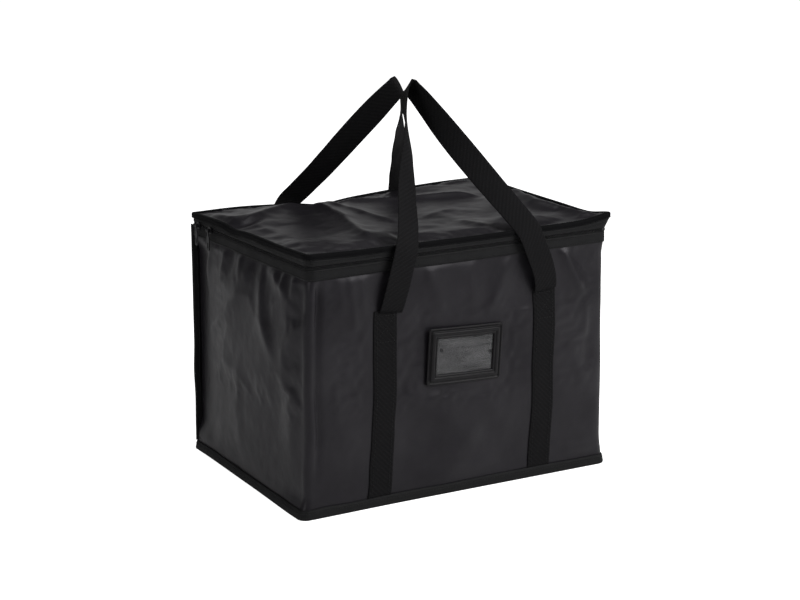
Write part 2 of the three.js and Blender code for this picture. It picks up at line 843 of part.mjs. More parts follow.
// Webbing straps sewn down the front and back faces
const strapNear = halfD + layerGap;
const strapFar = strapNear + strapThickness;
function frontStrap(x) {
  const heights = [strapBottom, ...wallHeights.filter((z) => z <= anchorZ)];
  const face = (y) => heights.map((z) => [x - webWidth / 2, x + webWidth / 2].map((edge) => [
    edge,
    -y - frontStand(x, z),
    z,
  ]));
  return sheetBetween(face(strapFar), face(strapNear));
}
for (const [end, sy] of [["front", -1], ["back", 1]]) {
  for (const [hand, sx] of [["left", -1], ["right", 1]]) {
    const y0 = Math.min(sy * strapNear, sy * strapFar);
    const y1 = Math.max(sy * strapNear, sy * strapFar);
    const x = sx * strapX;
    const strap = boxBetween(x - webWidth / 2, x + webWidth / 2, y0, y1, strapBottom, anchorZ);
    addPiece(`${end}_${hand}_strap`, end === "front" ? frontStrap(x) : strap, "webbing");
  }
}

// Handles: a ribbon that leaves the face flat, leans in over the lid and turns on edge at the top
function handleCurve(stand, bow) {
  const faceY = -halfD - layerGap - handleThickness / 2 - stand;
  const lipY = -halfD - Math.max(coilThickness, lidBindingThickness) - handleClear - handleThickness / 2;
  const start = anchorZ + handleStart;
  const lipX = strapX - handleLipInset;
  const lipZ = lidTop - handleLipDrop;
  const rise = lipZ - start;
  const apexZ = lidTop + handleRise;
  const apexDrop = handleApexRadius * 1.2;
  const slope = (handleLean * Math.PI) / 180;
  const reach = -handleApexY - lipY;
  const climb = apexZ - lipZ;
  const mid = (share) => [lipX * (1 - share), lipY + share * reach, lipZ + share * climb];
  const leg = [
    [strapX, faceY, start],
    [strapX - 0.06 * handleLipInset, faceY + 0.08 * (lipY - faceY) - 0.6 * bow, start + 0.12 * rise],
    [strapX - 0.24 * handleLipInset, faceY + 0.42 * (lipY - faceY) - bow, start + 0.34 * rise],
    [strapX - 0.56 * handleLipInset, faceY + 0.92 * (lipY - faceY) - 0.6 * bow, start + 0.66 * rise],
    [lipX, lipY, lipZ],
    [lipX * 0.885, lipY + 0.06 * reach, lipZ + 0.12 * climb],
    mid(0.34),
    mid(0.65),
    [handleApexRadius, -handleApexY - apexDrop * Math.sin(slope), apexZ - apexDrop],
  ];
  const left = leg.map(([x, y, z]) => new THREE.Vector3(-x, y, z));
  const right = leg.map(([x, y, z]) => new THREE.Vector3(x, y, z)).reverse();
  const apex = new THREE.Vector3(0, -handleApexY, apexZ);
  return new THREE.CatmullRomCurve3([...left, apex, ...right], false, "centripetal");
}

function ribbon(mirror, stand, bow) {
  const curve = handleCurve(stand, bow);
  const corners = [];
  const half = webWidth / 2;
  const thick = handleThickness / 2;
  for (let i = 0; i <= handleSteps; i += 1) {
    const u = i / handleSteps;
    const point = curve.getPointAt(u);
    const along = curve.getTangentAt(u);
    const fromEnd = Math.min(u, 1 - u);
    const side = u < 0.5 ? -1 : 1;
    if (fromEnd < 0.004) {
      along.set(0, 0, -side);
    }
    const lean = (smooth(fromEnd, 0.1, 0.3) * handleLean * Math.PI) / 180;
    const outward = new THREE.Vector3(0, -Math.cos(lean), Math.sin(lean));
    outward.addScaledVector(along, -outward.dot(along)).normalize();
    const inPlane = new THREE.Vector3().crossVectors(along, outward).negate();
    const turned = Math.max(0, (fromEnd - twistStart) / (0.5 - twistStart));
    const twist = (Math.pow(turned, twistPower) * Math.PI) / 2;
    const across = new THREE.Vector3();
    across.addScaledVector(inPlane, Math.cos(twist)).addScaledVector(outward, Math.sin(twist)).normalize();
    const normal = new THREE.Vector3().crossVectors(along, across).normalize();
    for (const [a, b] of [[-1, -1], [1, -1], [1, 1], [-1, 1]]) {
      const corner = point.clone().addScaledVector(across, a * half).addScaledVector(normal, b * thick);
      corners.push([corner.x, mirror * corner.y, corner.z]);
    }
  }
  const faces = [];
  const quad = (a, b, c, d) => faces.push([a, b, c], [a, c, d]);
  for (let i = 0; i < handleSteps; i += 1) {
    const here = 4 * i;
    const next = here + 4;
    for (let k = 0; k < 4; k += 1) {
      const k2 = (k + 1) % 4;
      quad(here + k, here + k2, next + k2, next + k);
    }
  }
  const last = 4 * handleSteps;
  quad(3, 2, 1, 0);
  quad(last, last + 1, last + 2, last + 3);
  const triangles = mirror > 0 ? faces : faces.map(([a, b, c]) => [a, c, b]);
  const geometry = new THREE.BufferGeometry();
  geometry.setAttribute("position", new THREE.Float32BufferAttribute(corners.flat(), 3));
  geometry.setIndex(triangles.flat());
  geometry.computeVertexNormals();
  return geometry;
}
addPiece("front_handle", ribbon(1, frontStand(strapX, anchorZ), frontHandleBow), "webbing");
addPiece("back_handle", ribbon(-1, 0, backHandleBow), "webbing");

// Label holder on the front face
function labelOutline(margin) {
  const width = labelOpenWidth + 2 * margin;
  const height = labelOpenHeight + 2 * margin;
  return roundedRect(width, height, labelCorner, 0, labelZ);
}
const labelBackFace = -halfD - frontSwell - layerGap;
const labelBackFront = labelBackFace - labelBackThickness;
const windowBackFace = labelBackFront - layerGap;
const windowFront = windowBackFace - labelWindowThickness;
const frameBackFace = windowFront - layerGap;
const frameFront = frameBackFace - labelFrameThickness;
const stepFront = frameFront - labelStepThickness;
const stepRoot = frameFront + labelFrameThickness / 3;
const labelOpening = labelOutline(0);
const labelBack = labelOutline(labelEdge - labelBackInset);
addPiece("label_backing", prismAlongY(labelBack, [], labelBackFront, labelBackFace), "vinyl");
addPiece("label_window", prismAlongY(labelOutline(labelWindowLap), [], windowFront, windowBackFace), "clear");
addPiece(
  "label_frame",
  union(
    prismAlongY(labelOutline(labelEdge), [labelOpening], frameFront, frameBackFace),
    prismAlongY(labelOutline(labelStepMargin), [labelOpening], stepFront, stepRoot),
  ),
  "vinyl",
);

export default bag;
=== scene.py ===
"""Looks of a soft insulated cooler bag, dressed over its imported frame.

Lengths are in metres: +X runs right along the front face, +Y from front to back and +Z up.
"""

import logging
import math
from dataclasses import dataclass, field
from enum import Enum
from typing import Sequence

import bpy
import numpy as np
from mathutils import Matrix, Vector


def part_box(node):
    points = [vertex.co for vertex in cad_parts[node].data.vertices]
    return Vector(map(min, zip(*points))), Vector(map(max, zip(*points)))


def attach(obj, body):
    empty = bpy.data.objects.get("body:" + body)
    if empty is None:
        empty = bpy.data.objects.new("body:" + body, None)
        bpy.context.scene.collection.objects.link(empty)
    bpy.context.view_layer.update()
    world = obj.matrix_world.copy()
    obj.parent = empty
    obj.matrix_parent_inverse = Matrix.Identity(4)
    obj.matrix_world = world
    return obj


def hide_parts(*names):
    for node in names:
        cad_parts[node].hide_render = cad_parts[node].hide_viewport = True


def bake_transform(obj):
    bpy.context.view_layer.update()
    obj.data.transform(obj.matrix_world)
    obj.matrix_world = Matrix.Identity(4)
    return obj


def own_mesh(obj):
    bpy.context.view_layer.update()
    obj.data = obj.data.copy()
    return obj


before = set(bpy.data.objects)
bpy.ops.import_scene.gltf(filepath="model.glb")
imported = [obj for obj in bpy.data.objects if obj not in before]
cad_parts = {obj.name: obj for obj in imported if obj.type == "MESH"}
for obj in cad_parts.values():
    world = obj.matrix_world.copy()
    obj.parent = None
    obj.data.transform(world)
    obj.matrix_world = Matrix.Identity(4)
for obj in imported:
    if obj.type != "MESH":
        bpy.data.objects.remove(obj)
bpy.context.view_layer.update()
LOG = logging.getLogger("cooler_bag")

Array = np.ndarray
Piece = bpy.types.Object
Socket = bpy.types.NodeSocket
Colour = tuple[float, float, float]
Line = tuple[tuple[float, float], ...]


class Finish(Enum):
    """The finishes that the pieces wear."""

    SHELL = "coated_shell"
    BINDING = "woven_binding"
    EDGE_TAPE = "lid_edge_tape"
    WEBBING = "woven_webbing"
    LINING = "foil_lining"
    FOAM = "foam_sheet"
    BOARD = "base_board"
    COIL = "nylon_coil"
    HARDWARE = "painted_hardware"
    VINYL = "moulded_vinyl"
    FILM = "clear_film"
    THREAD = "sewing_thread"


class Wall(Enum):
    """The upright faces of the bag."""

    LEFT = "left"
    FRONT = "front"
    RIGHT = "right"
    BACK = "back"

    @property
    def sideways(self) -> bool:
        """Whether it is the left or the right face."""
        return self in (Wall.LEFT, Wall.RIGHT)

    @property
    def sign(self) -> int:
        """1 where the face looks along its axis, as the right and back do, or else -1."""
        return 1 if self in (Wall.RIGHT, Wall.BACK) else -1


@dataclass(frozen=True)
class BagSize:
    """Main sizes of the bag, as the frame has them."""

    half_width: float = 0.254
    half_depth: float = 0.178
    corner: float = 0.010
    rear_corner: float = 0.002
    lid_top: float = 0.381
    wall_top: float = 0.361
    band_bottom: float = 0.345
    hem_top: float = 0.014
    shell: float = 0.0008
    rear_seam: float = 0.1769
    label_height: float = 0.210


SIZE = BagSize()


def smooth_step(value: Array, low: float, high: float) -> Array:
    """A soft ramp from 0 at low to 1 at high."""
    t = np.clip((value - low) / (high - low), 0.0, 1.0)
    return t * t * (3.0 - 2.0 * t)


def smooth_fall(value: Array, low: float, high: float) -> Array:
    """A soft ramp from 1 at low to 0 at high."""
    return 1 - smooth_step(value, low, high)


def soft_noise(a: Array, b: Array, cell_a: float, cell_b: float, seed: int) -> Array:
    """Smooth random values on a plane.

    Args:
        a: first coordinates.
        b: second coordinates.
        cell_a: size of a patch along a.
        cell_b: size of a patch along b.
        seed: picks the pattern.

    Returns:
        Values from -1 to 1, of the shape of a.
    """
    lattice = np.random.RandomState(seed).uniform(-1.0, 1.0, (64, 64))
    u, v = a / cell_a + 17.3, b / cell_b + 9.7
    i, j = np.floor(u).astype(int), np.floor(v).astype(int)
    fu, fv = u - i, v - j
    fu, fv = fu * fu * (3 - 2 * fu), fv * fv * (3 - 2 * fv)
    low = lattice[i % 64, j % 64] * (1 - fu) + lattice[(i + 1) % 64, j % 64] * fu
    high = lattice[i % 64, (j + 1) % 64] * (1 - fu) + lattice[(i + 1) % 64, (j + 1) % 64] * fu
    return low * (1 - fv) + high * fv


def line_noise(t: Array, cell: float, seed: int) -> Array:
    """Smooth random values from -1 to 1 along a line."""
    return soft_noise(t, t * 0, cell, 1.0, seed)


def inside_walls(x: Array, y: Array) -> Array:
    """How far places in plan lie inside the walls."""
    return np.minimum(SIZE.half_width - np.abs(x), SIZE.half_depth - np.abs(y))


@dataclass(frozen=True)
class Fold:
    """One fold in cloth, along a line: a ridge, or a valley where its height is negative."""

    line: Line
    height: float
    width: float
    steep: float = 1.0
    crest: float = 0.004
    fade: float = 0.045

    def lift(self, a: Array, b: Array) -> Array:
        """How far the fold lifts the cloth.

        Args:
            a: first coordinates on the cloth.
            b: second coordinates on the cloth.

        Returns:
            Heights in metres, of the shape of a.
        """
        points = np.array(self.line)
        lengths = np.linalg.norm(np.diff(points, axis=0), axis=1)
        best, side, along = np.full(a.shape, np.inf), np.zeros(a.shape), np.zeros(a.shape)
        for k, length in enumerate(lengths):
            way = (points[k + 1] - points[k]) / length
            da, db = a - points[k, 0], b - points[k, 1]
            t = np.clip(da * way[0] + db * way[1], 0, length)
            off_a, off_b = da - t * way[0], db - t * way[1]
            distance = np.hypot(off_a, off_b)
            near = distance < best
            best = np.where(near, distance, best)
            side = np.where(near, -da * way[1] + db * way[0], side)
            along = np.where(near, lengths[:k].sum() + t, along)
        width = self.width * np.where(side > 0, 1.0, self.steep)
        slope = np.exp(-(np.sqrt(best ** 2 + self.crest ** 2) - self.crest) / width)
        ends = smooth_step(along, -0.004, self.fade) * smooth_step(lengths.sum() - along, -0.004, self.fade)
        return self.height * slope * ends


@dataclass(frozen=True)
class Slump:
    """How the soft box settles: a leaning front left edge, a spread bottom seam and a sagging rear edge."""

    heights: tuple[float, ...] = (0.0, 0.030, 0.200, 0.345, 0.363, 0.381)
    left_front: tuple[float, ...] = (0.0, 0.0005, 0.0034, 0.0075, 0.0072, 0.0034)
    right_front: tuple[float, ...] = (0.0012, 0.0010, -0.0006, -0.0024, -0.0026, -0.0008)
    foot_spread: float = 0.0085
    rear_lift: float = 0.0060
    rear_sag: float = 0.0090

    def settle(self, points: Array) -> Array:
        """Moves points with the settled bag.

        Args:
            points: places, with x, y and z on the last axis.

        Returns:
            The moved places.
        """
        x, y, z = points[..., 0], points[..., 1], points[..., 2]
        hw, hd = SIZE.half_width, SIZE.half_depth
        front = np.clip((hd - y) / (2 * hd), 0.0, 1.05) ** 1.7
        left = np.clip(-x / hw, 0.0, 1.05) ** 1.5
        right = np.clip(x / hw, 0.0, 1.05) ** 1.5
        moved = points.copy()
        moved[..., 0] += front * left * np.interp(z, self.heights, self.left_front)
        moved[..., 0] += front * right * np.interp(z, self.heights, self.right_front)
        foot = np.exp(-(((x + hw) / 0.10) ** 2) - ((y + hd) / 0.12) ** 2) * smooth_fall(z, 0.006, 0.034)
        moved[..., 0] -= self.foot_spread * foot
        moved[..., 1] -= 0.4 * self.foot_spread * foot
        lift = np.exp(-(((x + hw) / 0.13) ** 2) - ((y - hd) / 0.13) ** 2) * smooth_fall(z, 0.0, 0.09)
        moved[..., 2] += self.rear_lift * lift
        sag = np.exp(-(((x + 0.03) / 0.13) ** 2)) * smooth_step(y, 0.06, hd) * smooth_step(z, 0.24, 0.36)
        moved[..., 2] -= self.rear_sag * sag
        return moved


SLUMP = Slump()


class WrapPath:
    """The path of the front and side panels in plan, from the rear left seam to the rear right."""

    def __init__(self) -> None:
        """Works out the lengths of its straights and folds."""
        self.side = SIZE.rear_seam + SIZE.half_depth - SIZE.corner
        self.fold = math.pi / 2 * SIZE.corner
        self.front = 2 * (SIZE.half_width - SIZE.corner)
        self.length = 2 * self.side + 2 * self.fold + self.front

    def place(self, wall: Wall, along: float) -> float:
        """The distance along the path of a place on a wall.

        Args:
            wall: the left, front or right wall.
            along: the place's y on a side, or its x on the front.

        Returns:
            The distance in metres.
        """
        if wall is Wall.LEFT:
            return SIZE.rear_seam - along
        if wall is Wall.FRONT:
            return self.side + self.fold + along + SIZE.half_width - SIZE.corner
        return self.length - SIZE.rear_seam + along

    def at(self, s: Array) -> tuple[Array, Array]:
        """Places along the path.

        Args:
            s: distances along it.

        Returns:
            The places and the outward directions, each with x and y on the last axis.
        """
        r, hw, hd = SIZE.corner, SIZE.half_width, SIZE.half_depth
        place = np.zeros(s.shape + (2,))
        out = np.zeros(s.shape + (2,))
        marks = np.cumsum([0, self.side, self.fold, self.front, self.fold])
        left = s < marks[1]
        place[left] = np.stack([np.full(left.sum(), -hw), SIZE.rear_seam - s[left]], -1)
        out[left] = (-1, 0)
        front = (s >= marks[2]) & (s < marks[3])
        place[front] = np.stack([s[front] - marks[2] - hw + r, np.full(front.sum(), -hd)], -1)
        out[front] = (0, -1)
        right = s >= marks[4]
        place[right] = np.stack([np.full(right.sum(), hw), s[right] - marks[4] - hd + r], -1)
        out[right] = (1, 0)
        for low, high, centre, turn in (
            (marks[1], marks[2], (-hw + r, -hd + r), math.pi),
            (marks[3], marks[4], (hw - r, -hd + r), 1.5 * math.pi),
        ):
            bend = (s >= low) & (s < high)
            angle = turn + (s[bend] - low) / r
            out[bend] = np.stack([np.cos(angle), np.sin(angle)], -1)
            place[bend] = np.array(centre) + r * out[bend]
        return place, out


PATH = WrapPath()


# The folds of each face: on the left and front as the photograph shows them, plausible ones behind.
WALL_FOLDS: dict[Wall, tuple[Fold, ...]] = {
    Wall.LEFT: (
        Fold(((-0.030, 0.352), (0.032, 0.270), (0.147, 0.195)), 0.0044, 0.021, 0.6, 0.006),
        Fold(((-0.044, 0.352), (-0.061, 0.264), (-0.101, 0.204)), 0.0056, 0.023, 0.45, 0.005),
        Fold(((-0.062, 0.352), (-0.130, 0.313)), 0.0042, 0.009, 0.7, 0.004, 0.02),
        Fold(((-0.175, 0.300), (-0.107, 0.206)), 0.0040, 0.015, 0.5, 0.004),
        Fold(((0.018, 0.190), (0.033, 0.113), (0.017, 0.028)), 0.0036, 0.026, 0.6, 0.014),
        Fold(((-0.127, 0.192), (-0.131, 0.135), (-0.146, 0.028)), 0.0030, 0.020, 0.7, 0.012),
        Fold(((-0.104, 0.196), (-0.098, 0.080)), -0.0030, 0.019, 1.0, 0.019),
        Fold(((0.112, 0.352), (0.142, 0.264)), 0.0044, 0.012, 0.6, 0.004),
        Fold(((0.104, 0.160), (0.086, 0.060)), -0.0024, 0.022, 1.0, 0.022),
        Fold(((-0.090, 0.352), (-0.096, 0.312)), 0.0026, 0.006, 1.0, 0.004, 0.015),
        Fold(((-0.110, 0.352), (-0.118, 0.318)), 0.0024, 0.005, 1.0, 0.004, 0.015),
        Fold(((-0.143, 0.352), (-0.139, 0.310)), 0.0026, 0.006, 1.0, 0.004, 0.015),
        Fold(((0.018, 0.352), (0.010, 0.306)), 0.0028, 0.008, 1.0, 0.004, 0.018),
        Fold(((0.062, 0.352), (0.074, 0.296)), 0.0030, 0.010, 0.8, 0.004, 0.020),
    ),
    Wall.FRONT: (
        Fold(((-0.206, 0.352), (-0.198, 0.286)), 0.0016, 0.006, 1.0, 0.004, 0.02),
        Fold(((-0.189, 0.352), (-0.180, 0.262)), 0.0020, 0.007, 0.8, 0.004, 0.02),
        Fold(((-0.170, 0.352), (-0.166, 0.282)), 0.0016, 0.006, 1.0, 0.004, 0.02),
        Fold(((-0.228, 0.190), (-0.172, 0.062)), 0.0032, 0.018, 0.7, 0.012, 0.05),
        Fold(((-0.062, 0.352), (-0.028, 0.262)), 0.0022, 0.012, 0.7, 0.008, 0.03),
        Fold(((0.008, 0.352), (0.022, 0.276)), 0.0018, 0.011, 0.8, 0.008, 0.03),
        Fold(((0.088, 0.352), (0.040, 0.256)), 0.0034, 0.013, 0.6, 0.006, 0.03),
        Fold(((0.104, 0.346), (0.112, 0.258)), -0.0046, 0.010, 1.0, 0.010, 0.03),
        Fold(((-0.108, 0.174), (-0.040, 0.128), (0.036, 0.068)), 0.0062, 0.024, 0.6, 0.012, 0.04),
        Fold(((-0.128, 0.146), (-0.030, 0.060)), -0.0028, 0.014, 1.0, 0.014, 0.04),
        Fold(((0.026, 0.154), (0.094, 0.054)), 0.0030, 0.020, 0.7, 0.012, 0.05),
        Fold(((-0.046, 0.053), (0.074, 0.036)), 0.0026, 0.011, 0.8, 0.006, 0.04),
        Fold(((0.168, 0.352), (0.215, 0.266)), 0.0056, 0.011, 0.5, 0.003, 0.03),
        Fold(((0.194, 0.350), (0.236, 0.282)), -0.0034, 0.009, 1.0, 0.009, 0.03),
        Fold(((0.176, 0.220), (0.230, 0.104)), 0.0034, 0.018, 0.7, 0.010, 0.05),
        Fold(((0.236, 0.254), (0.214, 0.148)), -0.0028, 0.012, 1.0, 0.012, 0.04),
        Fold(((0.158, 0.050), (0.240, 0.041)), 0.0018, 0.006, 0.8, 0.004, 0.03),
        Fold(((0.164, 0.033), (0.244, 0.026)), 0.0016, 0.005, 0.8, 0.004, 0.03),
    ),
    Wall.RIGHT: (
        Fold(((0.008, 0.352), (0.000, 0.230), (-0.022, 0.120)), 0.0062, 0.019, 0.6),
        Fold(((0.146, 0.340), (0.110, 0.220), (0.098, 0.100)), 0.0056, 0.018, 0.6),
        Fold(((-0.110, 0.350), (-0.096, 0.200), (-0.080, 0.050)), 0.0056, 0.018, 0.6),
        Fold(((0.060, 0.352), (0.080, 0.270)), 0.0040, 0.009, 0.7, 0.003, 0.02),
        Fold(((-0.050, 0.352), (-0.042, 0.280)), 0.0036, 0.008, 0.8, 0.003, 0.02),
        Fold(((-0.140, 0.300), (-0.130, 0.080)), -0.0026, 0.014, 1.0, 0.014),
        Fold(((0.040, 0.180), (0.070, 0.030)), 0.0040, 0.020, 0.7, 0.008),
    ),
    Wall.BACK: (
        Fold(((-0.200, 0.345), (-0.180, 0.230), (-0.150, 0.140)), 0.0050, 0.018, 0.6),
        Fold(((-0.070, 0.350), (-0.040, 0.230)), 0.0038, 0.013, 0.7, 0.005, 0.03),
        Fold(((0.030, 0.350), (0.006, 0.210), (0.050, 0.090)), 0.0046, 0.017, 0.6),
        Fold(((0.206, 0.345), (0.190, 0.230), (0.205, 0.090)), 0.0050, 0.017, 0.6),
        Fold(((-0.090, 0.180), (0.030, 0.060)), 0.0034, 0.018, 0.7, 0.010),
        Fold(((-0.215, 0.150), (-0.180, 0.034)), 0.0036, 0.018, 0.7, 0.010),
    ),
}
STUFFING = {Wall.LEFT: 0.0042, Wall.FRONT: 0.0085, Wall.RIGHT: 0.0042, Wall.BACK: 0.0060}


@dataclass(frozen=True)
class WallShape:
    """How far each upright face stands out or in, from its stuffing, folds and creases.

    A row of its waviness has a height, the sizes of a patch along and up the face, and a pattern.
    """

    seam_inset: float = 0.0090
    deepest: float = -0.0022
    waviness: tuple[tuple[float, float, float, int], ...] = (
        (0.0018, 0.120, 0.140, 4), (0.0011, 0.060, 0.110, 1), (0.0005, 0.022, 0.050, 2),
        (0.00018, 0.009, 0.014, 3))

    def pinch(self, a: Array, z: Array) -> Array:
        """How far a side wall draws in towards its rear seam."""
        upright = smooth_step(z, 0.020, 0.060) * smooth_fall(z, 0.318, 0.346)
        return self.seam_inset * smooth_step(a, 0.085, SIZE.half_depth) * upright

    def swell(self, wall: Wall, a: Array, z: Array) -> Array:
        """The broad outward swell of a face, without its folds.

        Args:
            wall: the face.
            a: x on the front and back, y on the sides.
            z: heights.

        Returns:
            Outward distances in metres.
        """
        half = SIZE.half_depth if wall.sideways else SIZE.half_width
        across = np.cos(np.clip(a / half, -1, 1) * math.pi / 2) ** 0.7
        rise = np.clip((z - SIZE.hem_top) / (SIZE.band_bottom - SIZE.hem_top), 0, 1)
        return STUFFING[wall] * across * np.sin(rise * math.pi) ** 0.8

    def stand(self, wall: Wall, a: Array, z: Array) -> Array:
        """How far a face's cloth stands out.

        Args:
            wall: the face.
            a: x on the front and back, y on the sides.
            z: heights.

        Returns:
            Outward distances in metres.
        """
        seed = list(Wall).index(wall) * 10
        half = SIZE.half_depth if wall.sideways else SIZE.half_width
        folds = sum(f.lift(a, z) for f in WALL_FOLDS[wall])
        for height, cell_a, cell_z, pattern in self.waviness:
            folds = folds + height * soft_noise(a, z, cell_a, cell_z, seed + pattern)
        sewn = smooth_step(z, SIZE.hem_top - 0.002, SIZE.hem_top + 0.020)
        sewn = sewn * smooth_fall(z, SIZE.band_bottom - 0.006, SIZE.band_bottom + 0.004)
        edge = smooth_fall(np.abs(a), half - 0.012, half + 0.004)
        folds = np.where(folds < self.deepest, self.deepest + 0.25 * (folds - self.deepest), folds)
        stand = self.swell(wall, a, z) + folds * sewn * (0.35 + 0.65 * edge) * self.under_label(wall, a, z)
        return stand - self.pinch(a, z) if wall.sideways else stand

    def under_label(self, wall: Wall, a: Array, z: Array) -> Array | float:
        """How far folds are left free: less under the label holder, which holds the cloth flat.

        Args:
            wall: the face.
            a: x on the front.
            z: heights.

        Returns:
            1 where they are free, and less under the holder.
        """
        if wall is not Wall.FRONT:
            return 1.0
        beside = smooth_step(np.abs(a), 0.056, 0.084)
        above = smooth_step(np.abs(z - SIZE.label_height), 0.034, 0.060)
        return 1 - 0.85 * (1 - beside) * (1 - above)

    def corner_edge(self, s: Array, z: Array) -> Array:
        """How the cloth rounds the front corners, with a crease down beside the left one.

        Args:
            s: distances along the wrap's path.
            z: heights.

        Returns:
            Outward distances in metres.
        """
        held = smooth_step(z, 0.012, 0.050) * smooth_fall(z, 0.325, 0.350)
        left = PATH.side + 0.5 * PATH.fold
        right = PATH.length - PATH.side - 0.5 * PATH.fold
        wander = 0.0022 * line_noise(z, 0.07, 7)
        fading = np.clip(0.45 + line_noise(z, 0.09, 12), 0, 1)
        ridge = 0.0036 * np.exp(-(((s - left - wander) / 0.0055) ** 2))
        depth = -0.0060 * (0.6 + 0.4 * fading)
        beside = (s - left - 0.0135 - 2 * wander) / 0.0046
        crease = depth * np.exp(-(beside ** 2)) * smooth_step(z, 0.04, 0.12)
        other = -0.0030 * np.exp(-(((s - right) / 0.0110) ** 2))
        return held * (ridge + crease + other)

    def along_wrap(self, s: Array, z: Array) -> Array:
        """How far the front and side cloth stands out.

        Args:
            s: distances along the wrap's path.
            z: heights.

        Returns:
            Outward distances in metres.
        """
        left = self.stand(Wall.LEFT, SIZE.rear_seam - s, z)
        front = self.stand(Wall.FRONT, s - PATH.place(Wall.FRONT, 0.0), z)
        right = self.stand(Wall.RIGHT, s - PATH.place(Wall.RIGHT, 0.0), z)
        first = smooth_step(s, PATH.side, PATH.side + PATH.fold)
        second = smooth_step(s, PATH.length - PATH.side - PATH.fold, PATH.length - PATH.side)
        return left * (1 - first) + front * first * (1 - second) + right * second + self.corner_edge(s, z)


WALLS = WallShape()


# The folds of the lid's cover, as the photograph shows them.
LID_FOLDS = (
    Fold(((-0.240, 0.052), (-0.138, 0.116), (-0.079, 0.141)), 0.0078, 0.022, 0.45, 0.002),
    Fold(((-0.076, 0.138), (-0.088, 0.020), (-0.118, -0.086), (-0.128, -0.158)),
         0.0082, 0.026, 0.45, 0.002),
    Fold(((-0.070, 0.132), (-0.051, 0.028), (-0.036, -0.060)), 0.0058, 0.016, 0.55, 0.002),
    Fold(((-0.066, 0.142), (0.049, 0.084), (0.144, 0.062), (0.176, 0.034)),
         0.0078, 0.022, 0.45, 0.002),
    Fold(((0.176, 0.040), (0.146, -0.050), (0.104, -0.152)), 0.0076, 0.022, 0.45, 0.002),
    Fold(((-0.246, 0.160), (-0.226, 0.048)), 0.0046, 0.015, 0.6, 0.004),
    Fold(((-0.000, -0.052), (0.104, -0.006)), 0.0036, 0.016, 0.6, 0.004),
    Fold(((0.048, -0.080), (0.064, -0.146)), 0.0034, 0.013, 0.7, 0.004, 0.02),
    Fold(((0.160, 0.156), (0.232, 0.138)), 0.0036, 0.014, 0.6, 0.004, 0.03),
    Fold(((0.238, 0.058), (0.214, -0.040), (0.230, -0.090), (0.240, -0.168)),
         0.0056, 0.014, 0.5, 0.003, 0.02),
    Fold(((-0.190, 0.044), (-0.168, -0.100)), -0.0060, 0.030, 1.0, 0.030),
    Fold(((-0.020, 0.060), (0.030, -0.020)), -0.0032, 0.024, 1.0, 0.024),
    Fold(((0.196, 0.012), (0.186, -0.122)), -0.0036, 0.013, 1.0, 0.013),
    Fold(((-0.020, 0.150), (0.150, 0.108)), -0.0036, 0.016, 1.0, 0.016),
)


@dataclass(frozen=True)
class LidShape:
    """How the limp lid lies: its sag, its lifted corner and the folds and waviness of its cover."""

    deepest: float = -0.0034
    waviness: tuple[tuple[float, float, float, int], ...] = (
        (0.0016, 0.070, 0.050, 71), (0.0007, 0.026, 0.020, 72), (0.0002, 0.010, 0.009, 73))

    def lie(self, x: Array, y: Array) -> Array:
        """The height of the whole lid over its flat place.

        Args:
            x: places across the lid.
            y: places from front to back.

        Returns:
            Heights in metres.
        """
        def bump(cx: float, cy: float, rx: float, ry: float) -> Array:
            """A round bump of height 1."""
            return np.exp(-(((x - cx) / rx) ** 2) - ((y - cy) / ry) ** 2)

        inside = np.cos(np.clip(x / SIZE.half_width, -1, 1) * math.pi / 2)
        inside = inside * np.cos(np.clip(y / SIZE.half_depth, -1, 1) * math.pi / 2)
        sag = -0.0050 * np.maximum(inside, 0) ** 0.6
        ear = 0.0085 * bump(0.256, -0.180, 0.030, 0.034) + 0.0018 * bump(-0.254, -0.178, 0.050, 0.050)
        rear = -0.0045 * bump(-0.035, 0.180, 0.034, 0.040) - 0.0025 * bump(-0.254, 0.178, 0.060, 0.050)
        left = -0.0034 * bump(-0.254, 0.045, 0.040, 0.028)
        front = -0.0016 * bump(0.020, -0.178, 0.120, 0.030)
        return sag + ear + rear + left + front

    def cover(self, x: Array, y: Array) -> Array:
        """The height of the folds in the lid's cover over the lid itself.

        Args:
            x: places across the lid.
            y: places from front to back.

        Returns:
            Heights in metres.
        """
        folds = sum(f.lift(x, y) for f in LID_FOLDS)
        for height, cell_x, cell_y, pattern in self.waviness:
            folds = folds + height * soft_noise(x, y, cell_x, cell_y, pattern)
        edge = smooth_fall(np.abs(x), SIZE.half_width - 0.022, SIZE.half_width - 0.004)
        edge = edge * smooth_fall(np.abs(y), SIZE.half_depth - 0.022, SIZE.half_depth - 0.004)
        return np.maximum(folds, self.deepest) * edge

    def flare(self, points: Array) -> Array:
        """Pinches the lid's front right corner out to a point.

        Args:
            points: places on the lid, with x, y and z on the last axis.

        Returns:
            The moved places.
        """
        x, y = points[..., 0], points[..., 1]
        moved = points.copy()
        near = np.exp(-(((x - 0.254) / 0.022) ** 2) - ((y + 0.178) / 0.022) ** 2)
        moved[..., 0] += 0.0050 * near
        moved[..., 1] -= 0.0040 * near
        return moved


LID = LidShape()


def set_off(plan: Array, out: Array, by: Array | float, z: Array | float) -> Array:
    """Places set outward from places in plan by some distances, at some heights."""
    moved = plan + out * np.asarray(by)[..., None]
    return np.concatenate([moved, np.broadcast_to(z, moved.shape[:-1])[..., None]], -1)


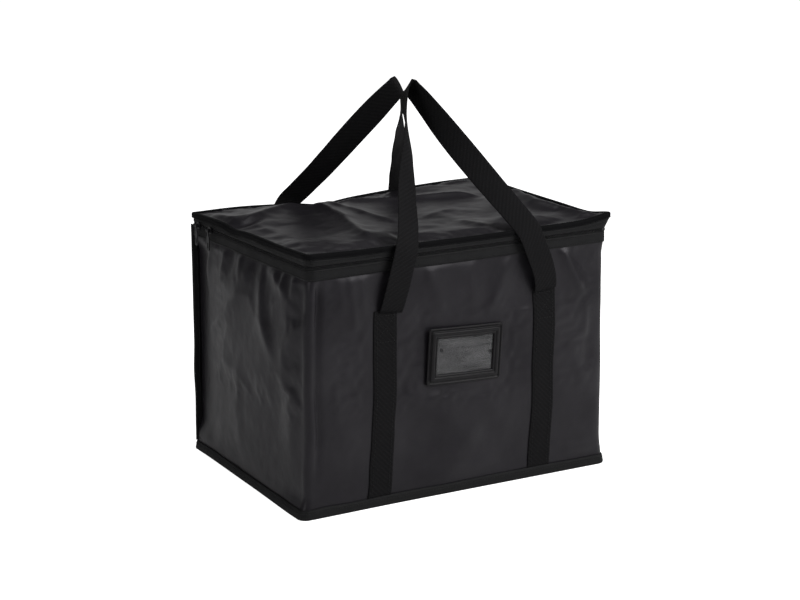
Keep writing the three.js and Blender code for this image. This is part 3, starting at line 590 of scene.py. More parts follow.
class Cloth:
    """A sheet with thickness, woven from a grid of places on its outer face."""

    def __init__(self, name: str, places: Array, thickness: float | Array, away: Sequence[float],
                 ring: bool = False) -> None:
        """Makes the sheet's mesh.

        Args:
            name: the piece's name.
            places: rows of places across the sheet and columns along it, with x, y and z last.
            thickness: the sheet's thickness, one for all or one per place.
            away: a place that the outer face looks away from.
            ring: whether the last column joins the first.
        """
        self.places = places
        padded = np.concatenate([places[:, -1:], places, places[:, :1]], 1) if ring else places
        along = np.gradient(padded, axis=1)
        along = along[:, 1:-1] if ring else along
        across = np.gradient(places, axis=0)
        normals = np.cross(along, across)
        normals /= np.maximum(np.linalg.norm(normals, axis=-1, keepdims=True), 1e-12)
        if np.sum(normals * (places - np.array(away))) < 0:
            normals = -normals
        self.normals = normals
        depth = np.broadcast_to(np.asarray(thickness, float), places.shape[:2])[..., None]
        inner = places - normals * depth
        self.object = loft(name, np.concatenate([places, inner[::-1]], 0), ring)

    def row(self, share: float) -> tuple[Array, Array]:
        """A line along the sheet's outer face.

        Args:
            share: where it runs across the sheet's breadth, from 0 to 1.

        Returns:
            Places along it and the outward directions there.
        """
        index = share * (len(self.places) - 1)
        low = int(min(max(math.floor(index), 0), len(self.places) - 2))
        mix = index - low
        places = self.places[low] * (1 - mix) + self.places[low + 1] * mix
        normals = self.normals[low] * (1 - mix) + self.normals[low + 1] * mix
        return places, normals


def loft(name: str, loops: Array, ring: bool) -> Piece:
    """Makes a closed mesh from sections that follow each other.

    Args:
        name: the piece's name.
        loops: places round each section on the first axis, sections on the second.
        ring: whether the last section joins the first; otherwise both ends are closed.

    Returns:
        The new object, smooth shaded, with a UV map in metres.
    """
    rows, columns = loops.shape[:2]
    spans = columns if ring else columns - 1
    r, c = np.meshgrid(np.arange(rows), np.arange(spans), indexing="ij")
    r, c = r.ravel(), c.ravel()

    def at(i: Array, j: Array) -> Array:
        """The number of a vertex."""
        return (i % rows) * columns + j % columns

    faces = np.stack([at(r, c), at(r, c + 1), at(r + 1, c + 1), at(r + 1, c)], -1)
    step_u = np.linalg.norm(np.diff(np.concatenate([loops, loops[:, :1]], 1), axis=1), axis=-1).mean(0)
    step_v = np.linalg.norm(np.diff(np.concatenate([loops, loops[:1]], 0), axis=0), axis=-1).mean(1)
    u = np.concatenate([[0.0], np.cumsum(step_u)])
    v = np.concatenate([[0.0], np.cumsum(step_v)])
    uv = np.stack([np.stack([u[c], v[r]], -1), np.stack([u[c + 1], v[r]], -1),
                   np.stack([u[c + 1], v[r + 1]], -1), np.stack([u[c], v[r + 1]], -1)], 1)
    if not ring:
        half = rows // 2
        i = np.arange(half - 1)
        for column, turned in ((0, False), (columns - 1, True)):
            ends = (i, i + 1, rows - 2 - i, rows - 1 - i)
            cap = np.stack([at(end, column) for end in ends], -1)
            faces = np.concatenate([faces, cap[:, ::-1] if turned else cap])
            uv = np.concatenate([uv, np.stack([np.stack([np.full(half - 1, u[column]), v[k]], -1)
                                               for k in (i, i + 1, i + 1, i)], 1)])
    return mesh_object(name, loops.reshape(-1, 3), faces, uv)


def mesh_object(name: str, places: Array, faces: Array, uv: Array | None = None) -> Piece:
    """Makes an object from vertices and four-sided faces, turned to face outward.

    Args:
        name: the piece's name.
        places: its vertices.
        faces: vertex numbers, four to a face.
        uv: a UV place for each corner of each face.

    Returns:
        The new object, linked to the scene.
    """
    a, b, c, d = (places[faces[:, k]] for k in range(4))
    volume = np.einsum("ij,ij->i", a, np.cross(b, c)) + np.einsum("ij,ij->i", a, np.cross(c, d))
    if volume.sum() < 0:
        faces = faces[:, ::-1]
        uv = None if uv is None else uv[:, ::-1]
    mesh = bpy.data.meshes.new(name)
    mesh.vertices.add(len(places))
    mesh.vertices.foreach_set("co", np.ascontiguousarray(places, np.float32).ravel())
    mesh.loops.add(faces.size)
    mesh.loops.foreach_set("vertex_index", np.ascontiguousarray(faces, np.int32).ravel())
    mesh.polygons.add(len(faces))
    mesh.polygons.foreach_set("loop_start", np.arange(0, faces.size, 4, dtype=np.int32))
    mesh.polygons.foreach_set("use_smooth", np.ones(len(faces), bool))
    mesh.update(calc_edges=True)
    if uv is not None:
        layer = mesh.uv_layers.new(name="cut")
        layer.data.foreach_set("uv", np.ascontiguousarray(uv, np.float32).ravel())
    mesh.validate()
    made = bpy.data.objects.new(name, mesh)
    bpy.context.scene.collection.objects.link(made)
    return made


def fill_rows(values: Array, kept: Array, count: int) -> Array:
    """Fills in the rows between kept ones with smooth curves.

    Args:
        values: values in the kept rows.
        kept: the kept rows' numbers.
        count: how many rows to return.

    Returns:
        Values in every row.
    """
    want = np.arange(count)
    k = np.clip(np.searchsorted(kept, want, "right") - 1, 0, len(kept) - 2)
    t = ((want - kept[k]) / (kept[k + 1] - kept[k])).reshape((-1,) + (1,) * (values.ndim - 1))
    a, b, c, d = (values[np.clip(k + shift, 0, len(kept) - 1)] for shift in (-1, 0, 1, 2))
    return b + 0.5 * t * (c - a + t * (2 * a - 5 * b + 4 * c - d + t * (3 * b - a - 3 * c + d)))


@dataclass(frozen=True)
class Drape:
    """A cloth simulation that lets a sewn sheet swell and crumple between its seams."""

    growth: float = 0.006
    pressure: float = 2.0
    mass: float = 0.008
    stiffness: float = 15.0
    bending: float = 5.0
    frames: int = 20
    every: int = 2
    reach: float = 0.0055
    sink: float = 0.0012

    def settle(self, places: Array, held: Array, outward: Array) -> Array:
        """Runs the simulation on a sheet, on every other row and column of it.

        Args:
            places: rows and columns of places on the sheet, with x, y and z last.
            held: for each place, 1 where it is sewn down and 0 where it is free.
            outward: directions away from what is under the sheet.
        """
        picked = [np.linspace(0, n - 1, n // self.every) for n in places.shape[:2]]
        rows, columns = (np.round(p).astype(int) for p in picked)
        start = places[np.ix_(rows, columns)]
        move = self.simulate(start, held[np.ix_(rows, columns)]) - start
        move = fill_rows(move, rows, places.shape[0])
        move = fill_rows(move.transpose(1, 0, 2), columns, places.shape[1]).transpose(1, 0, 2)
        out = np.sum(move * outward, -1, keepdims=True)
        move = move + outward * (np.clip(out, -self.sink, self.reach) - out)
        size = np.linalg.norm(move, axis=-1, keepdims=True)
        LOG.info("draped sheet: %d points, moves of %.1f mm at most", start[..., 0].size, 1000 * size.max())
        return places + move * np.minimum(1.0, self.reach / np.maximum(size, 1e-9))

    def simulate(self, start: Array, held: Array) -> Array:
        """Lets a coarse sheet settle.

        Args:
            start: rows and columns of places, with x, y and z last.
            held: how firmly each place is held, from 0 to 1.

        Returns:
            The places after the last frame.
        """
        rows, columns = start.shape[:2]
        r, c = (k.ravel() for k in np.meshgrid(np.arange(rows - 1), np.arange(columns - 1), indexing="ij"))
        corner = r * columns + c
        faces = np.stack([corner, corner + 1, corner + columns + 1, corner + columns], -1)
        sheet = mesh_object("sheet_in_test", start.reshape(-1, 3), faces)
        group = sheet.vertex_groups.new(name="sewn")
        level = np.round(held.ravel() * 8).astype(int)
        for step in range(1, 9):
            group.add(np.nonzero(level == step)[0].tolist(), step / 8, "REPLACE")
        test = sheet.modifiers.new("test", "CLOTH")
        cloth = test.settings
        cloth.quality = 6
        cloth.mass = self.mass
        cloth.tension_stiffness = cloth.compression_stiffness = self.stiffness
        cloth.shear_stiffness = self.stiffness / 3
        cloth.bending_stiffness = self.bending
        cloth.air_damping = 1.0
        cloth.vertex_group_mass = "sewn"
        cloth.shrink_min = -self.growth
        cloth.use_pressure = True
        cloth.uniform_pressure_force = self.pressure
        cloth.effector_weights.gravity = 0.0
        test.collision_settings.use_collision = False
        test.point_cache.frame_start, test.point_cache.frame_end = 1, self.frames
        for tick in range(1, self.frames + 1):
            bpy.context.scene.frame_set(tick)
        settled = np.zeros(start.size, np.float32)
        sheet.evaluated_get(bpy.context.evaluated_depsgraph_get()).data.vertices.foreach_get("co", settled)
        bpy.context.scene.frame_set(1)
        mesh = sheet.data
        bpy.data.objects.remove(sheet)
        bpy.data.meshes.remove(mesh)
        return settled.reshape(start.shape).astype(float)


class NodeBench:
    """A small helper that lays out shader nodes."""

    def __init__(self, name: str) -> None:
        """Starts a material with one shader.

        Args:
            name: the material's name.
        """
        self.material = bpy.data.materials.new(name)
        self.material.use_nodes = True
        self.tree = self.material.node_tree
        self.shader = self.tree.nodes["Principled BSDF"]

    def node(self, kind: str, feeds: dict[str | int, Socket] | None = None,
             **values: object) -> bpy.types.Node:
        """Adds a node.

        Args:
            kind: the node's type name.
            feeds: sockets of other nodes, by the input that each one feeds.
            **values: its properties, or the defaults of its input sockets.

        Returns:
            The node.
        """
        made = self.tree.nodes.new(kind)
        for key, value in values.items():
            if key in made.bl_rna.properties:
                setattr(made, key, value)
            else:
                made.inputs[key.replace("_", " ")].default_value = value
        for key, source in (feeds or {}).items():
            self.wire(source, made.inputs[key])
        return made

    def wire(self, source: Socket, target: Socket) -> None:
        """Links two sockets."""
        self.tree.links.new(source, target)

    def set(self, **values: object) -> None:
        """Sets sockets of the shader."""
        for key, value in values.items():
            self.shader.inputs[key.replace("_", " ")].default_value = value

    def cut_places(self, stretch: tuple[float, float, float] = (1, 1, 1)) -> Socket:
        """Places on the cut cloth, times a factor along, across and off it."""
        cut = self.node("ShaderNodeTexCoord").outputs["UV"]
        return self.node("ShaderNodeMapping", {"Vector": cut}, Scale=stretch).outputs["Vector"]

    def space_places(self) -> Socket:
        """Places in the object's own space."""
        return self.node("ShaderNodeTexCoord").outputs["Object"]

    def noise(self, places: Socket, scale: float, detail: float) -> Socket:
        """A noise with a number of patches to a metre and of finer patterns over them."""
        made = self.node("ShaderNodeTexNoise", {"Vector": places}, Scale=scale, Detail=detail)
        return made.outputs["Fac"]

    def waves(self, places: Socket, pitch: float, direction: str, distortion: float = 0.0) -> Socket:
        """A row of soft, uneven bands across an axis; the pitch sets how close they lie."""
        return self.node("ShaderNodeTexWave", {"Vector": places}, wave_type="BANDS",
                         bands_direction=direction, Scale=1 / pitch / 6.28,
                         Distortion=distortion).outputs["Fac"]

    def spread(self, value: Socket, low: float, high: float) -> Socket:
        """Maps a value from 0 to 1 on low to high."""
        return self.node("ShaderNodeMapRange", {"Value": value}, To_Min=low, To_Max=high).outputs["Result"]

    def rough(self, value: Socket, low: float, high: float) -> None:
        """Spreads the shader's roughness from low to high by a value from 0 to 1."""
        self.wire(self.spread(value, low, high), self.shader.inputs["Roughness"])

    def blend(self, first: Socket, second: Socket, kind: str) -> Socket:
        """Joins two values by a product or the like."""
        return self.node("ShaderNodeMath", {0: first, 1: second}, operation=kind).outputs[0]

    def tint(self, value: Socket, low: Colour, high: Colour) -> None:
        """Colours the shader between two colours by a value.

        Args:
            value: a socket of values from 0 to 1.
            low: the colour at 0.
            high: the colour at 1.
        """
        ramp = self.node("ShaderNodeValToRGB", {"Fac": value})
        ramp.color_ramp.elements[0].color = (*low, 1.0)
        ramp.color_ramp.elements[1].color = (*high, 1.0)
        self.wire(ramp.outputs["Color"], self.shader.inputs["Base Color"])

    def relief(self, height: Socket, strength: float, depth: float, under: Socket | None = None) -> Socket:
        """Adds a bump to the shader.

        Args:
            height: a socket of heights.
            strength: how much of the bump shows.
            depth: how deep it is.
            under: the socket of a bump that it lies over.

        Returns:
            The socket of the bumped normals.
        """
        feeds = {"Height": height} if under is None else {"Height": height, "Normal": under}
        bumped = self.node("ShaderNodeBump", feeds, Strength=strength, Distance=depth).outputs["Normal"]
        self.wire(bumped, self.shader.inputs["Normal"])
        return bumped


@dataclass(frozen=True)
class CoatedShell:
    """Black coated fabric: a faint grain under a soft, uneven sheen."""

    dark: Colour = (0.0052, 0.0046, 0.0060)
    light: Colour = (0.0156, 0.0143, 0.0170)
    thread: float = 0.0008

    def build(self) -> bpy.types.Material:
        """Makes the material.

        Returns:
            The material.
        """
        bench = NodeBench(Finish.SHELL.value)
        places, cut = bench.space_places(), bench.cut_places()
        cloud = bench.noise(places, 14.0, 4.0)
        bench.tint(cloud, self.dark, self.light)
        bench.rough(bench.noise(places, 46.0, 3.0), 0.32, 0.47)
        sheen = bench.spread(bench.noise(places, 9.0, 3.0), 0.10, 0.31)
        bench.wire(sheen, bench.shader.inputs["Specular IOR Level"])
        bench.set(Specular_Tint=(0.98, 0.955, 1.0, 1.0))
        crumple = bench.relief(bench.noise(places, 70.0, 3.0), 0.22, 0.0016)
        warp, weft = bench.waves(cut, self.thread, "X"), bench.waves(cut, self.thread, "Y")
        grain = bench.blend(warp, weft, "MULTIPLY")
        bench.relief(grain, 0.10, 0.00012, crumple)
        return bench.material


@dataclass(frozen=True)
class WovenBinding:
    """Black woven tape with fine cross ribs."""

    finish: Finish = Finish.BINDING
    dark: Colour = (0.0042, 0.0042, 0.0046)
    light: Colour = (0.0108, 0.0106, 0.0116)
    rib: float = 0.0013
    gloss: float = 0.16

    def build(self) -> bpy.types.Material:
        """Makes the material.

        Returns:
            The material.
        """
        bench = NodeBench(self.finish.value)
        cut = bench.cut_places()
        ribs = bench.waves(cut, self.rib, "X", 0.4)
        yarns = bench.waves(cut, self.rib * 0.7, "Y", 0.3)
        weave = bench.blend(ribs, yarns, "MULTIPLY")
        worn = bench.noise(bench.space_places(), 55.0, 3.0)
        bench.tint(bench.blend(weave, worn, "MULTIPLY"), self.dark, self.light)
        bench.rough(worn, 0.55, 0.75)
        bench.set(Specular_IOR_Level=self.gloss, Sheen_Weight=0.1 * self.gloss, Sheen_Roughness=0.4)
        bench.relief(weave, 0.55, 0.00035)
        return bench.material


@dataclass(frozen=True)
class WovenWebbing:
    """Matte black strap webbing with a slanting twill and firm edges."""

    dark: Colour = (0.0066, 0.0064, 0.0069)
    light: Colour = (0.0150, 0.0146, 0.0156)
    twill: float = 0.0019

    def build(self) -> bpy.types.Material:
        """Makes the material.

        Returns:
            The material.
        """
        bench = NodeBench(Finish.WEBBING.value)
        slant = bench.waves(bench.cut_places(), self.twill, "DIAGONAL", 0.3)
        cross = bench.waves(bench.cut_places(), self.twill * 0.62, "X", 0.2)
        weave = bench.blend(slant, cross, "MULTIPLY")
        worn = bench.noise(bench.space_places(), 40.0, 4.0)
        bench.tint(bench.blend(weave, worn, "MULTIPLY"), self.dark, self.light)
        bench.rough(worn, 0.62, 0.82)
        bench.set(Specular_IOR_Level=0.05, Sheen_Weight=0.01, Sheen_Roughness=0.45)
        bench.relief(weave, 0.7, 0.0005)
        return bench.material


@dataclass(frozen=True)
class FoilLining:
    """Silver lining film with fine crinkles."""

    dark: Colour = (0.52, 0.53, 0.55)
    light: Colour = (0.74, 0.75, 0.77)

    def build(self) -> bpy.types.Material:
        """Makes the material.

        Returns:
            The material.
        """
        bench = NodeBench(Finish.LINING.value)
        places = bench.space_places()
        crinkle = bench.noise(places, 120.0, 5.0)
        bench.tint(bench.noise(places, 22.0, 3.0), self.dark, self.light)
        bench.rough(crinkle, 0.24, 0.42)
        bench.set(Metallic=0.85)
        bench.relief(crinkle, 0.5, 0.0012)
        return bench.material


@dataclass(frozen=True)
class FoamSheet:
    """White closed-cell foam."""

    dark: Colour = (0.66, 0.66, 0.63)
    light: Colour = (0.80, 0.80, 0.78)

    def build(self) -> bpy.types.Material:
        """Makes the material.

        Returns:
            The material.
        """
        bench = NodeBench(Finish.FOAM.value)
        cells = bench.noise(bench.space_places(), 420.0, 2.0)
        bench.tint(cells, self.dark, self.light)
        bench.set(Roughness=0.85)
        bench.relief(cells, 0.4, 0.0006)
        return bench.material


@dataclass(frozen=True)
class PlainMould:
    """Black moulded or painted stuff with a fine grain."""

    finish: Finish
    dark: Colour
    light: Colour
    smoothest: float
    roughest: float
    grain: float
    depth: float

    def build(self) -> bpy.types.Material:
        """Makes the material.

        Returns:
            The material.
        """
        bench = NodeBench(self.finish.value)
        places = bench.space_places()
        grain = bench.noise(places, self.grain, 3.0)
        bench.tint(bench.noise(places, 60.0, 2.0), self.dark, self.light)
        bench.rough(grain, self.smoothest, self.roughest)
        bench.set(Specular_IOR_Level=0.16)
        bench.relief(grain, 0.3, self.depth)
        return bench.material


@dataclass(frozen=True)
class ClearFilm:
    """Clear, slightly milky window film."""

    dark: Colour = (0.002, 0.002, 0.003)
    light: Colour = (0.198, 0.198, 0.202)

    def build(self) -> bpy.types.Material:
        """Makes the material.

        Returns:
            The material.
        """
        bench = NodeBench(Finish.FILM.value)
        haze = bench.noise(bench.cut_places((18.0, 110.0, 1.0)), 1.0, 1.5)
        bench.tint(haze, self.dark, self.light)
        bench.rough(haze, 0.14, 0.30)
        bench.set(Alpha=0.55, Specular_IOR_Level=0.13)
        bench.relief(haze, 0.10, 0.0006)
        return bench.material


class Wardrobe:
    """Makes each finish once and dresses pieces in it."""

    SLOTS: dict[Finish, str] = {
        Finish.SHELL: "shell", Finish.BINDING: "tape", Finish.EDGE_TAPE: "tape", Finish.WEBBING: "webbing",
        Finish.LINING: "liner", Finish.FOAM: "foam", Finish.BOARD: "board", Finish.COIL: "coil",
        Finish.HARDWARE: "metal", Finish.VINYL: "vinyl", Finish.FILM: "clear", Finish.THREAD: "tape",
    }

    def __init__(self) -> None:
        """Makes the materials."""
        makers = {
            Finish.SHELL: CoatedShell(),
            Finish.BINDING: WovenBinding(),
            Finish.WEBBING: WovenWebbing(),
            Finish.EDGE_TAPE: WovenBinding(
                Finish.EDGE_TAPE, (0.0034, 0.0034, 0.0038), (0.0084, 0.0082, 0.0092), gloss=0.03),
            Finish.LINING: FoilLining(),
            Finish.FOAM: FoamSheet(),
            Finish.FILM: ClearFilm(),
            Finish.BOARD: PlainMould(
                Finish.BOARD, (0.020, 0.020, 0.021), (0.034, 0.034, 0.035),
                smoothest=0.5, roughest=0.7, grain=300.0, depth=0.0004),
            Finish.COIL: PlainMould(
                Finish.COIL, (0.006, 0.006, 0.0065), (0.012, 0.012, 0.0125),
                smoothest=0.35, roughest=0.5, grain=500.0, depth=0.0001),
            Finish.HARDWARE: PlainMould(
                Finish.HARDWARE, (0.008, 0.008, 0.009), (0.016, 0.016, 0.017),
                smoothest=0.28, roughest=0.42, grain=700.0, depth=0.0001),
            Finish.VINYL: PlainMould(
                Finish.VINYL, (0.0042, 0.0038, 0.0045), (0.0070, 0.0064, 0.0074),
                smoothest=0.34, roughest=0.48, grain=900.0, depth=0.00012),
            Finish.THREAD: PlainMould(
                Finish.THREAD, (0.006, 0.006, 0.0065), (0.015, 0.015, 0.0155),
                smoothest=0.5, roughest=0.7, grain=1500.0, depth=0.0001),
        }
        self.materials = {finish: maker.build() for finish, maker in makers.items()}

    def dress(self, piece: Piece, finish: Finish) -> Piece:
        """Gives a piece its finish.

        Args:
            piece: a mesh object.
            finish: what it is made of.

        Returns:
            The same piece.
        """
        piece.data.materials.clear()
        piece.data.materials.append(self.materials[finish])
        return piece

    def dress_node(self, name: str, finish: Finish) -> None:
        """Gives a piece of the frame its finish, and leaves its shape as it is.

        Args:
            name: the node's name.
            finish: what it is made of.
        """
        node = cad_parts[name]
        node.data.materials.clear()
        node.data.materials.append(self.materials[finish])


def reach_along(line: Array) -> Array:
    """The distance of each point of a line from the line's start."""
    return np.concatenate([[0.0], np.cumsum(np.linalg.norm(np.diff(line, axis=0), axis=1))])


def along_line(values: Array, reach: Array, want: Array) -> Array:
    """Values given at the points of a line, read at other distances along it."""
    return np.stack([np.interp(want, reach, values[:, k]) for k in range(3)], -1)


@dataclass
class Sewing:
    """Collects the stitches of one body and makes them as one piece.

    Each stitch has a length, a pitch from one to the next, and a girth, which is half a thread's thickness.
    """

    name: str
    body: str
    length: float = 0.0030
    pitch: float = 0.0042
    girth: float = 0.00036
    places: list[Array] = field(default_factory=list)

    def run(self, line: Array, normals: Array, closed: bool = False) -> None:
        """Sews along a line.

        Args:
            line: places along it.
            normals: outward directions there.
            closed: whether it ends where it starts.
        """
        if closed:
            line, normals = np.concatenate([line, line[:1]]), np.concatenate([normals, normals[:1]])
        reach = reach_along(line)
        count = max(int(reach[-1] / self.pitch), 1)
        middles = (np.arange(count) + 0.5) * reach[-1] / count
        out = along_line(normals, reach, middles)
        out /= np.linalg.norm(out, axis=1, keepdims=True)
        first = along_line(line, reach, middles - self.length / 2)
        last = along_line(line, reach, middles + self.length / 2)
        along = last - first
        side = np.cross(along, out)
        side /= np.maximum(np.linalg.norm(side, axis=1, keepdims=True), 1e-9)
        rings = []
        for share, wide, lift in ((0.0, 0.45, -0.1), (0.25, 1.0, 0.75), (0.75, 1.0, 0.75), (1.0, 0.45, -0.1)):
            middle = first + along * share + out * self.girth * lift
            ring = [middle + (side * math.cos(t) + out * math.sin(t)) * self.girth * wide
                    for t in (0.0, math.pi / 2, math.pi, 1.5 * math.pi)]
            rings.append(np.stack(ring, 1))
        self.places.append(np.concatenate(rings, 1))

    def make(self, wardrobe: Wardrobe) -> Piece:
        """Makes all the stitches.

        Args:
            wardrobe: gives the thread's finish.

        Returns:
            The stitches, as one piece.
        """
        stitches = np.concatenate(self.places)
        pattern = [(k * 4 + j, k * 4 + (j + 1) % 4, k * 4 + 4 + (j + 1) % 4, k * 4 + 4 + j)
                   for k in range(3) for j in range(4)]
        pattern += [(3, 2, 1, 0), (12, 13, 14, 15)]
        faces = np.array(pattern)[None] + 16 * np.arange(len(stitches))[:, None, None]
        made = mesh_object(self.name, stitches.reshape(-1, 3), faces.reshape(-1, 4))
        wardrobe.dress(made, Finish.THREAD)
        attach(made, self.body)
        return made


@dataclass
class SubAssembly:
    """Pieces that are made and dressed together."""

    wardrobe: Wardrobe
    pieces: list[Piece] = field(default_factory=list, init=False)

    def keep(self, piece: Piece, finish: Finish, body: str, *nodes: str) -> Piece:
        """Dresses a piece, rides it on a body and lets it stand for its nodes.

        Args:
            piece: a mesh object.
            finish: what it is made of.
            body: the body that it moves with.
            *nodes: the pieces of the frame that it stands for, if any.

        Returns:
            The same piece.
        """
        self.wardrobe.dress(piece, finish)
        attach(piece, body)
        if nodes:
            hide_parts(*nodes)
        self.pieces.append(piece)
        return piece


@dataclass
class BagBody(SubAssembly):
    """The shell's outer cloth: the wrap, the back, the base and the tape round their seams."""

    sewing: Sewing
    step: float = 0.0036
    cloth_low: float = 0.0016
    cloth_height: float = 0.36
    seam_tip: float = 0.256
    flange_low: float = 0.0155
    flange_high: float = 0.3605
    flange_round: float = 0.004
    strap_middle: float = 0.138
    tape_front: float = 0.1748
    tape_rear: float = 0.1793
    hem_profile: Line = (
        (0.0006, 0.0145), (0.0016, 0.0148), (0.0024, 0.0140), (0.0030, 0.0115), (0.0036, 0.0070),
        (0.0042, 0.0030), (0.0040, 0.0012), (0.0030, 0.0003), (0.0008, 0.0003))
    drape: Drape = Drape(growth=0.0045)

    def build(self) -> None:
        """Makes and dresses the pieces."""
        self.wrap()
        self.back()
        self.base()
        self.rear_tapes()
        self.base_tape()

    def flange(self, z: Array) -> Array:
        """How far the rear edges turn out into their seams at some heights, from 0 to 1."""
        low = np.clip((z - self.flange_low) / self.flange_round, 0, 1)
        return low * np.clip((self.flange_high - z) / self.flange_round, 0, 1)

    def wrap(self) -> None:
        """Makes the front and side cloth with its turned-out rear edges."""
        heights = np.linspace(self.cloth_low, SIZE.wall_top, int(self.cloth_height / self.step))
        s = np.linspace(0.0, PATH.length - 1e-6, int(PATH.length / self.step))
        grid_z, grid_s = np.meshgrid(heights, s, indexing="ij")
        place, out = PATH.at(grid_s)
        stand = WALLS.along_wrap(grid_s, grid_z)
        points = set_off(place, out, stand, grid_z)
        outward = np.concatenate([out, np.zeros(grid_z.shape + (1,))], -1)
        points = self.drape.settle(points, self.sewn(grid_s, grid_z), outward)
        turn = self.flange(grid_z)
        ends = []
        for share in (1.0, 0.66, 0.33):
            left, right = points[:, :1].copy(), points[:, -1:].copy()
            left[..., 0] -= (self.seam_tip + left[..., 0]) * share * turn[:, :1]
            right[..., 0] += (self.seam_tip - right[..., 0]) * share * turn[:, :1]
            left[..., 1] -= 0.0002 * share
            right[..., 1] -= 0.0002 * share
            ends.append((left, right))
        points = np.concatenate([e[0] for e in ends] + [points] + [e[1] for e in reversed(ends)], 1)
        cloth = Cloth("wrap_cloth", SLUMP.settle(points), SIZE.shell, (0, 0.05, 0.18))
        piece = self.keep(cloth.object, Finish.SHELL, "bag_body", "outer_wrap")

    def sewn(self, s: Array, z: Array) -> Array:
        """Where the front and side cloth is sewn down.

        Args:
            s: distances along the wrap's path.
            z: heights.

        Returns:
            1 at seams, folded corners, straps and the label holder, less on the rest of the front,
            which is held in part, and 0 where the cloth is free.
        """
        x = s - PATH.place(Wall.FRONT, 0.0)
        hem = smooth_fall(z, SIZE.hem_top + 0.100, SIZE.hem_top + 0.150)
        band = smooth_step(z, SIZE.band_bottom - 0.008, SIZE.band_bottom)
        seams = smooth_fall(np.minimum(s, PATH.length - s), 0.055, 0.095)
        turn = np.minimum(np.abs(s - PATH.side - 0.019), np.abs(PATH.length - PATH.side - s - 0.010))
        corners = smooth_fall(turn, 0.016, 0.034)
        straps = smooth_fall(np.abs(np.abs(x) - self.strap_middle), 0.020, 0.032)
        straps = straps * smooth_fall(z, 0.292, 0.304)
        label = smooth_fall(np.abs(x), 0.066, 0.078)
        label = label * smooth_fall(np.abs(z - SIZE.label_height), 0.046, 0.058)
        calm = (0.4 + 0.5 * smooth_step(z, 0.25, 0.32)) * smooth_step(0.235 - np.abs(x), 0.0, 0.030)
        return np.maximum.reduce([hem, band, seams, corners, straps, label, calm])

    def back(self) -> None:
        """Makes the back cloth, whose edges run out into the seam flanges."""
        heights = np.linspace(self.cloth_low, SIZE.wall_top, int(self.cloth_height / self.step))
        half = self.seam_tip
        share = np.linspace(-1, 1, int(2 * half / self.step))
        turn = self.flange(heights)
        reach = half - 0.004 * (1 - turn)
        x = share[None, :] * reach[:, None]
        z = np.broadcast_to(heights[:, None], x.shape)
        stand = WALLS.stand(Wall.BACK, x, z)
        stand = stand * smooth_fall(np.abs(x), SIZE.half_width - 0.030, SIZE.half_width - 0.010)
        points = np.stack([x, SIZE.half_depth + stand, z], -1)
        cloth = Cloth("back_cloth", SLUMP.settle(points), SIZE.shell, (0, 0, 0.18))
        piece = self.keep(cloth.object, Finish.SHELL, "bag_body", "back_outer")

    def base(self) -> None:
        """Makes the base cloth, flat on the floor with shallow hollows."""
        x, y = lid_grid(0.0, 0.009)
        hollow = 0.0006 * np.clip(soft_noise(x, y, 0.08, 0.06, 91) + 0.4, 0, 1)
        points = np.stack([x, y, 0.0001 + hollow], -1)
        cloth = Cloth("base_cloth", SLUMP.settle(points), 0.0010, (0, 0, 0.18))
        piece = self.keep(cloth.object, Finish.SHELL, "bag_body", "base_outer")

    def rear_tapes(self) -> None:
        """Makes the tape folded over each upright rear seam."""
        front, rear = self.tape_front, self.tape_rear
        bend = [math.radians(d) for d in range(-90, 91, 22)]
        middle, radius = (front + rear) / 2, (rear - front) / 2
        heights = np.linspace(self.flange_low, self.flange_high, 90)
        tip = self.seam_tip + 0.0014
        inset = WALLS.pinch(np.full(heights.shape, SIZE.half_depth), heights)
        mouth = SIZE.half_width - inset + 0.0010
        flat = [(0.0, front), (0.4, front), (0.9, front)]
        flat_back = [(0.9, rear), (0.4, rear), (0.0, rear)]
        for side, node in ((-1, "rear_left_binding"), (1, "rear_right_binding")):
            wave = 0.0008 * line_noise(heights, 0.05, 31 + side)
            sway = 0.0007 * line_noise(heights, 0.035, 41 + side)
            rows = [(mouth + (tip - radius - mouth) * share, depth) for share, depth in flat]
            rows += [(tip - radius + radius * math.cos(t), middle + radius * math.sin(t)) for t in bend]
            rows += [(mouth + (tip - radius - mouth) * share, depth) for share, depth in flat_back]
            points = np.zeros((len(rows), len(heights), 3))
            for k, (out, depth) in enumerate(rows):
                points[k, :, 0] = side * (np.maximum(out, mouth) + wave)
                points[k, :, 1] = depth + sway
                points[k, :, 2] = heights
            cloth = Cloth(f"{node}_tape", SLUMP.settle(points), 0.0008, (side * 0.250, middle, 0.18))
            self.keep(cloth.object, Finish.BINDING, "bag_body", node)
            for share in (0.06, 0.94):
                self.sewing.run(*cloth.row(share))

    def base_tape(self) -> None:
        """Makes the tape round the bottom seam."""
        ring, out = bag_ring(0.006)
        t = np.linspace(0, 2 * math.pi, len(ring), endpoint=False)
        lean = 0.0007 * line_noise(t, 0.16, 51)
        top = 0.0009 * line_noise(t, 0.13, 52)
        rows = []
        for offset, height in self.hem_profile:
            share = height / 0.014
            rows.append(set_off(ring, out, offset + lean * share, height + top * share))
        cloth = Cloth("base_binding_tape", SLUMP.settle(np.array(rows)), 0.0005, (0, 0, 0.02), ring=True)
        self.keep(cloth.object, Finish.BINDING, "bag_body", "base_binding")
        line, normals = cloth.row(0.42)
        self.sewing.run(line, normals, closed=True)


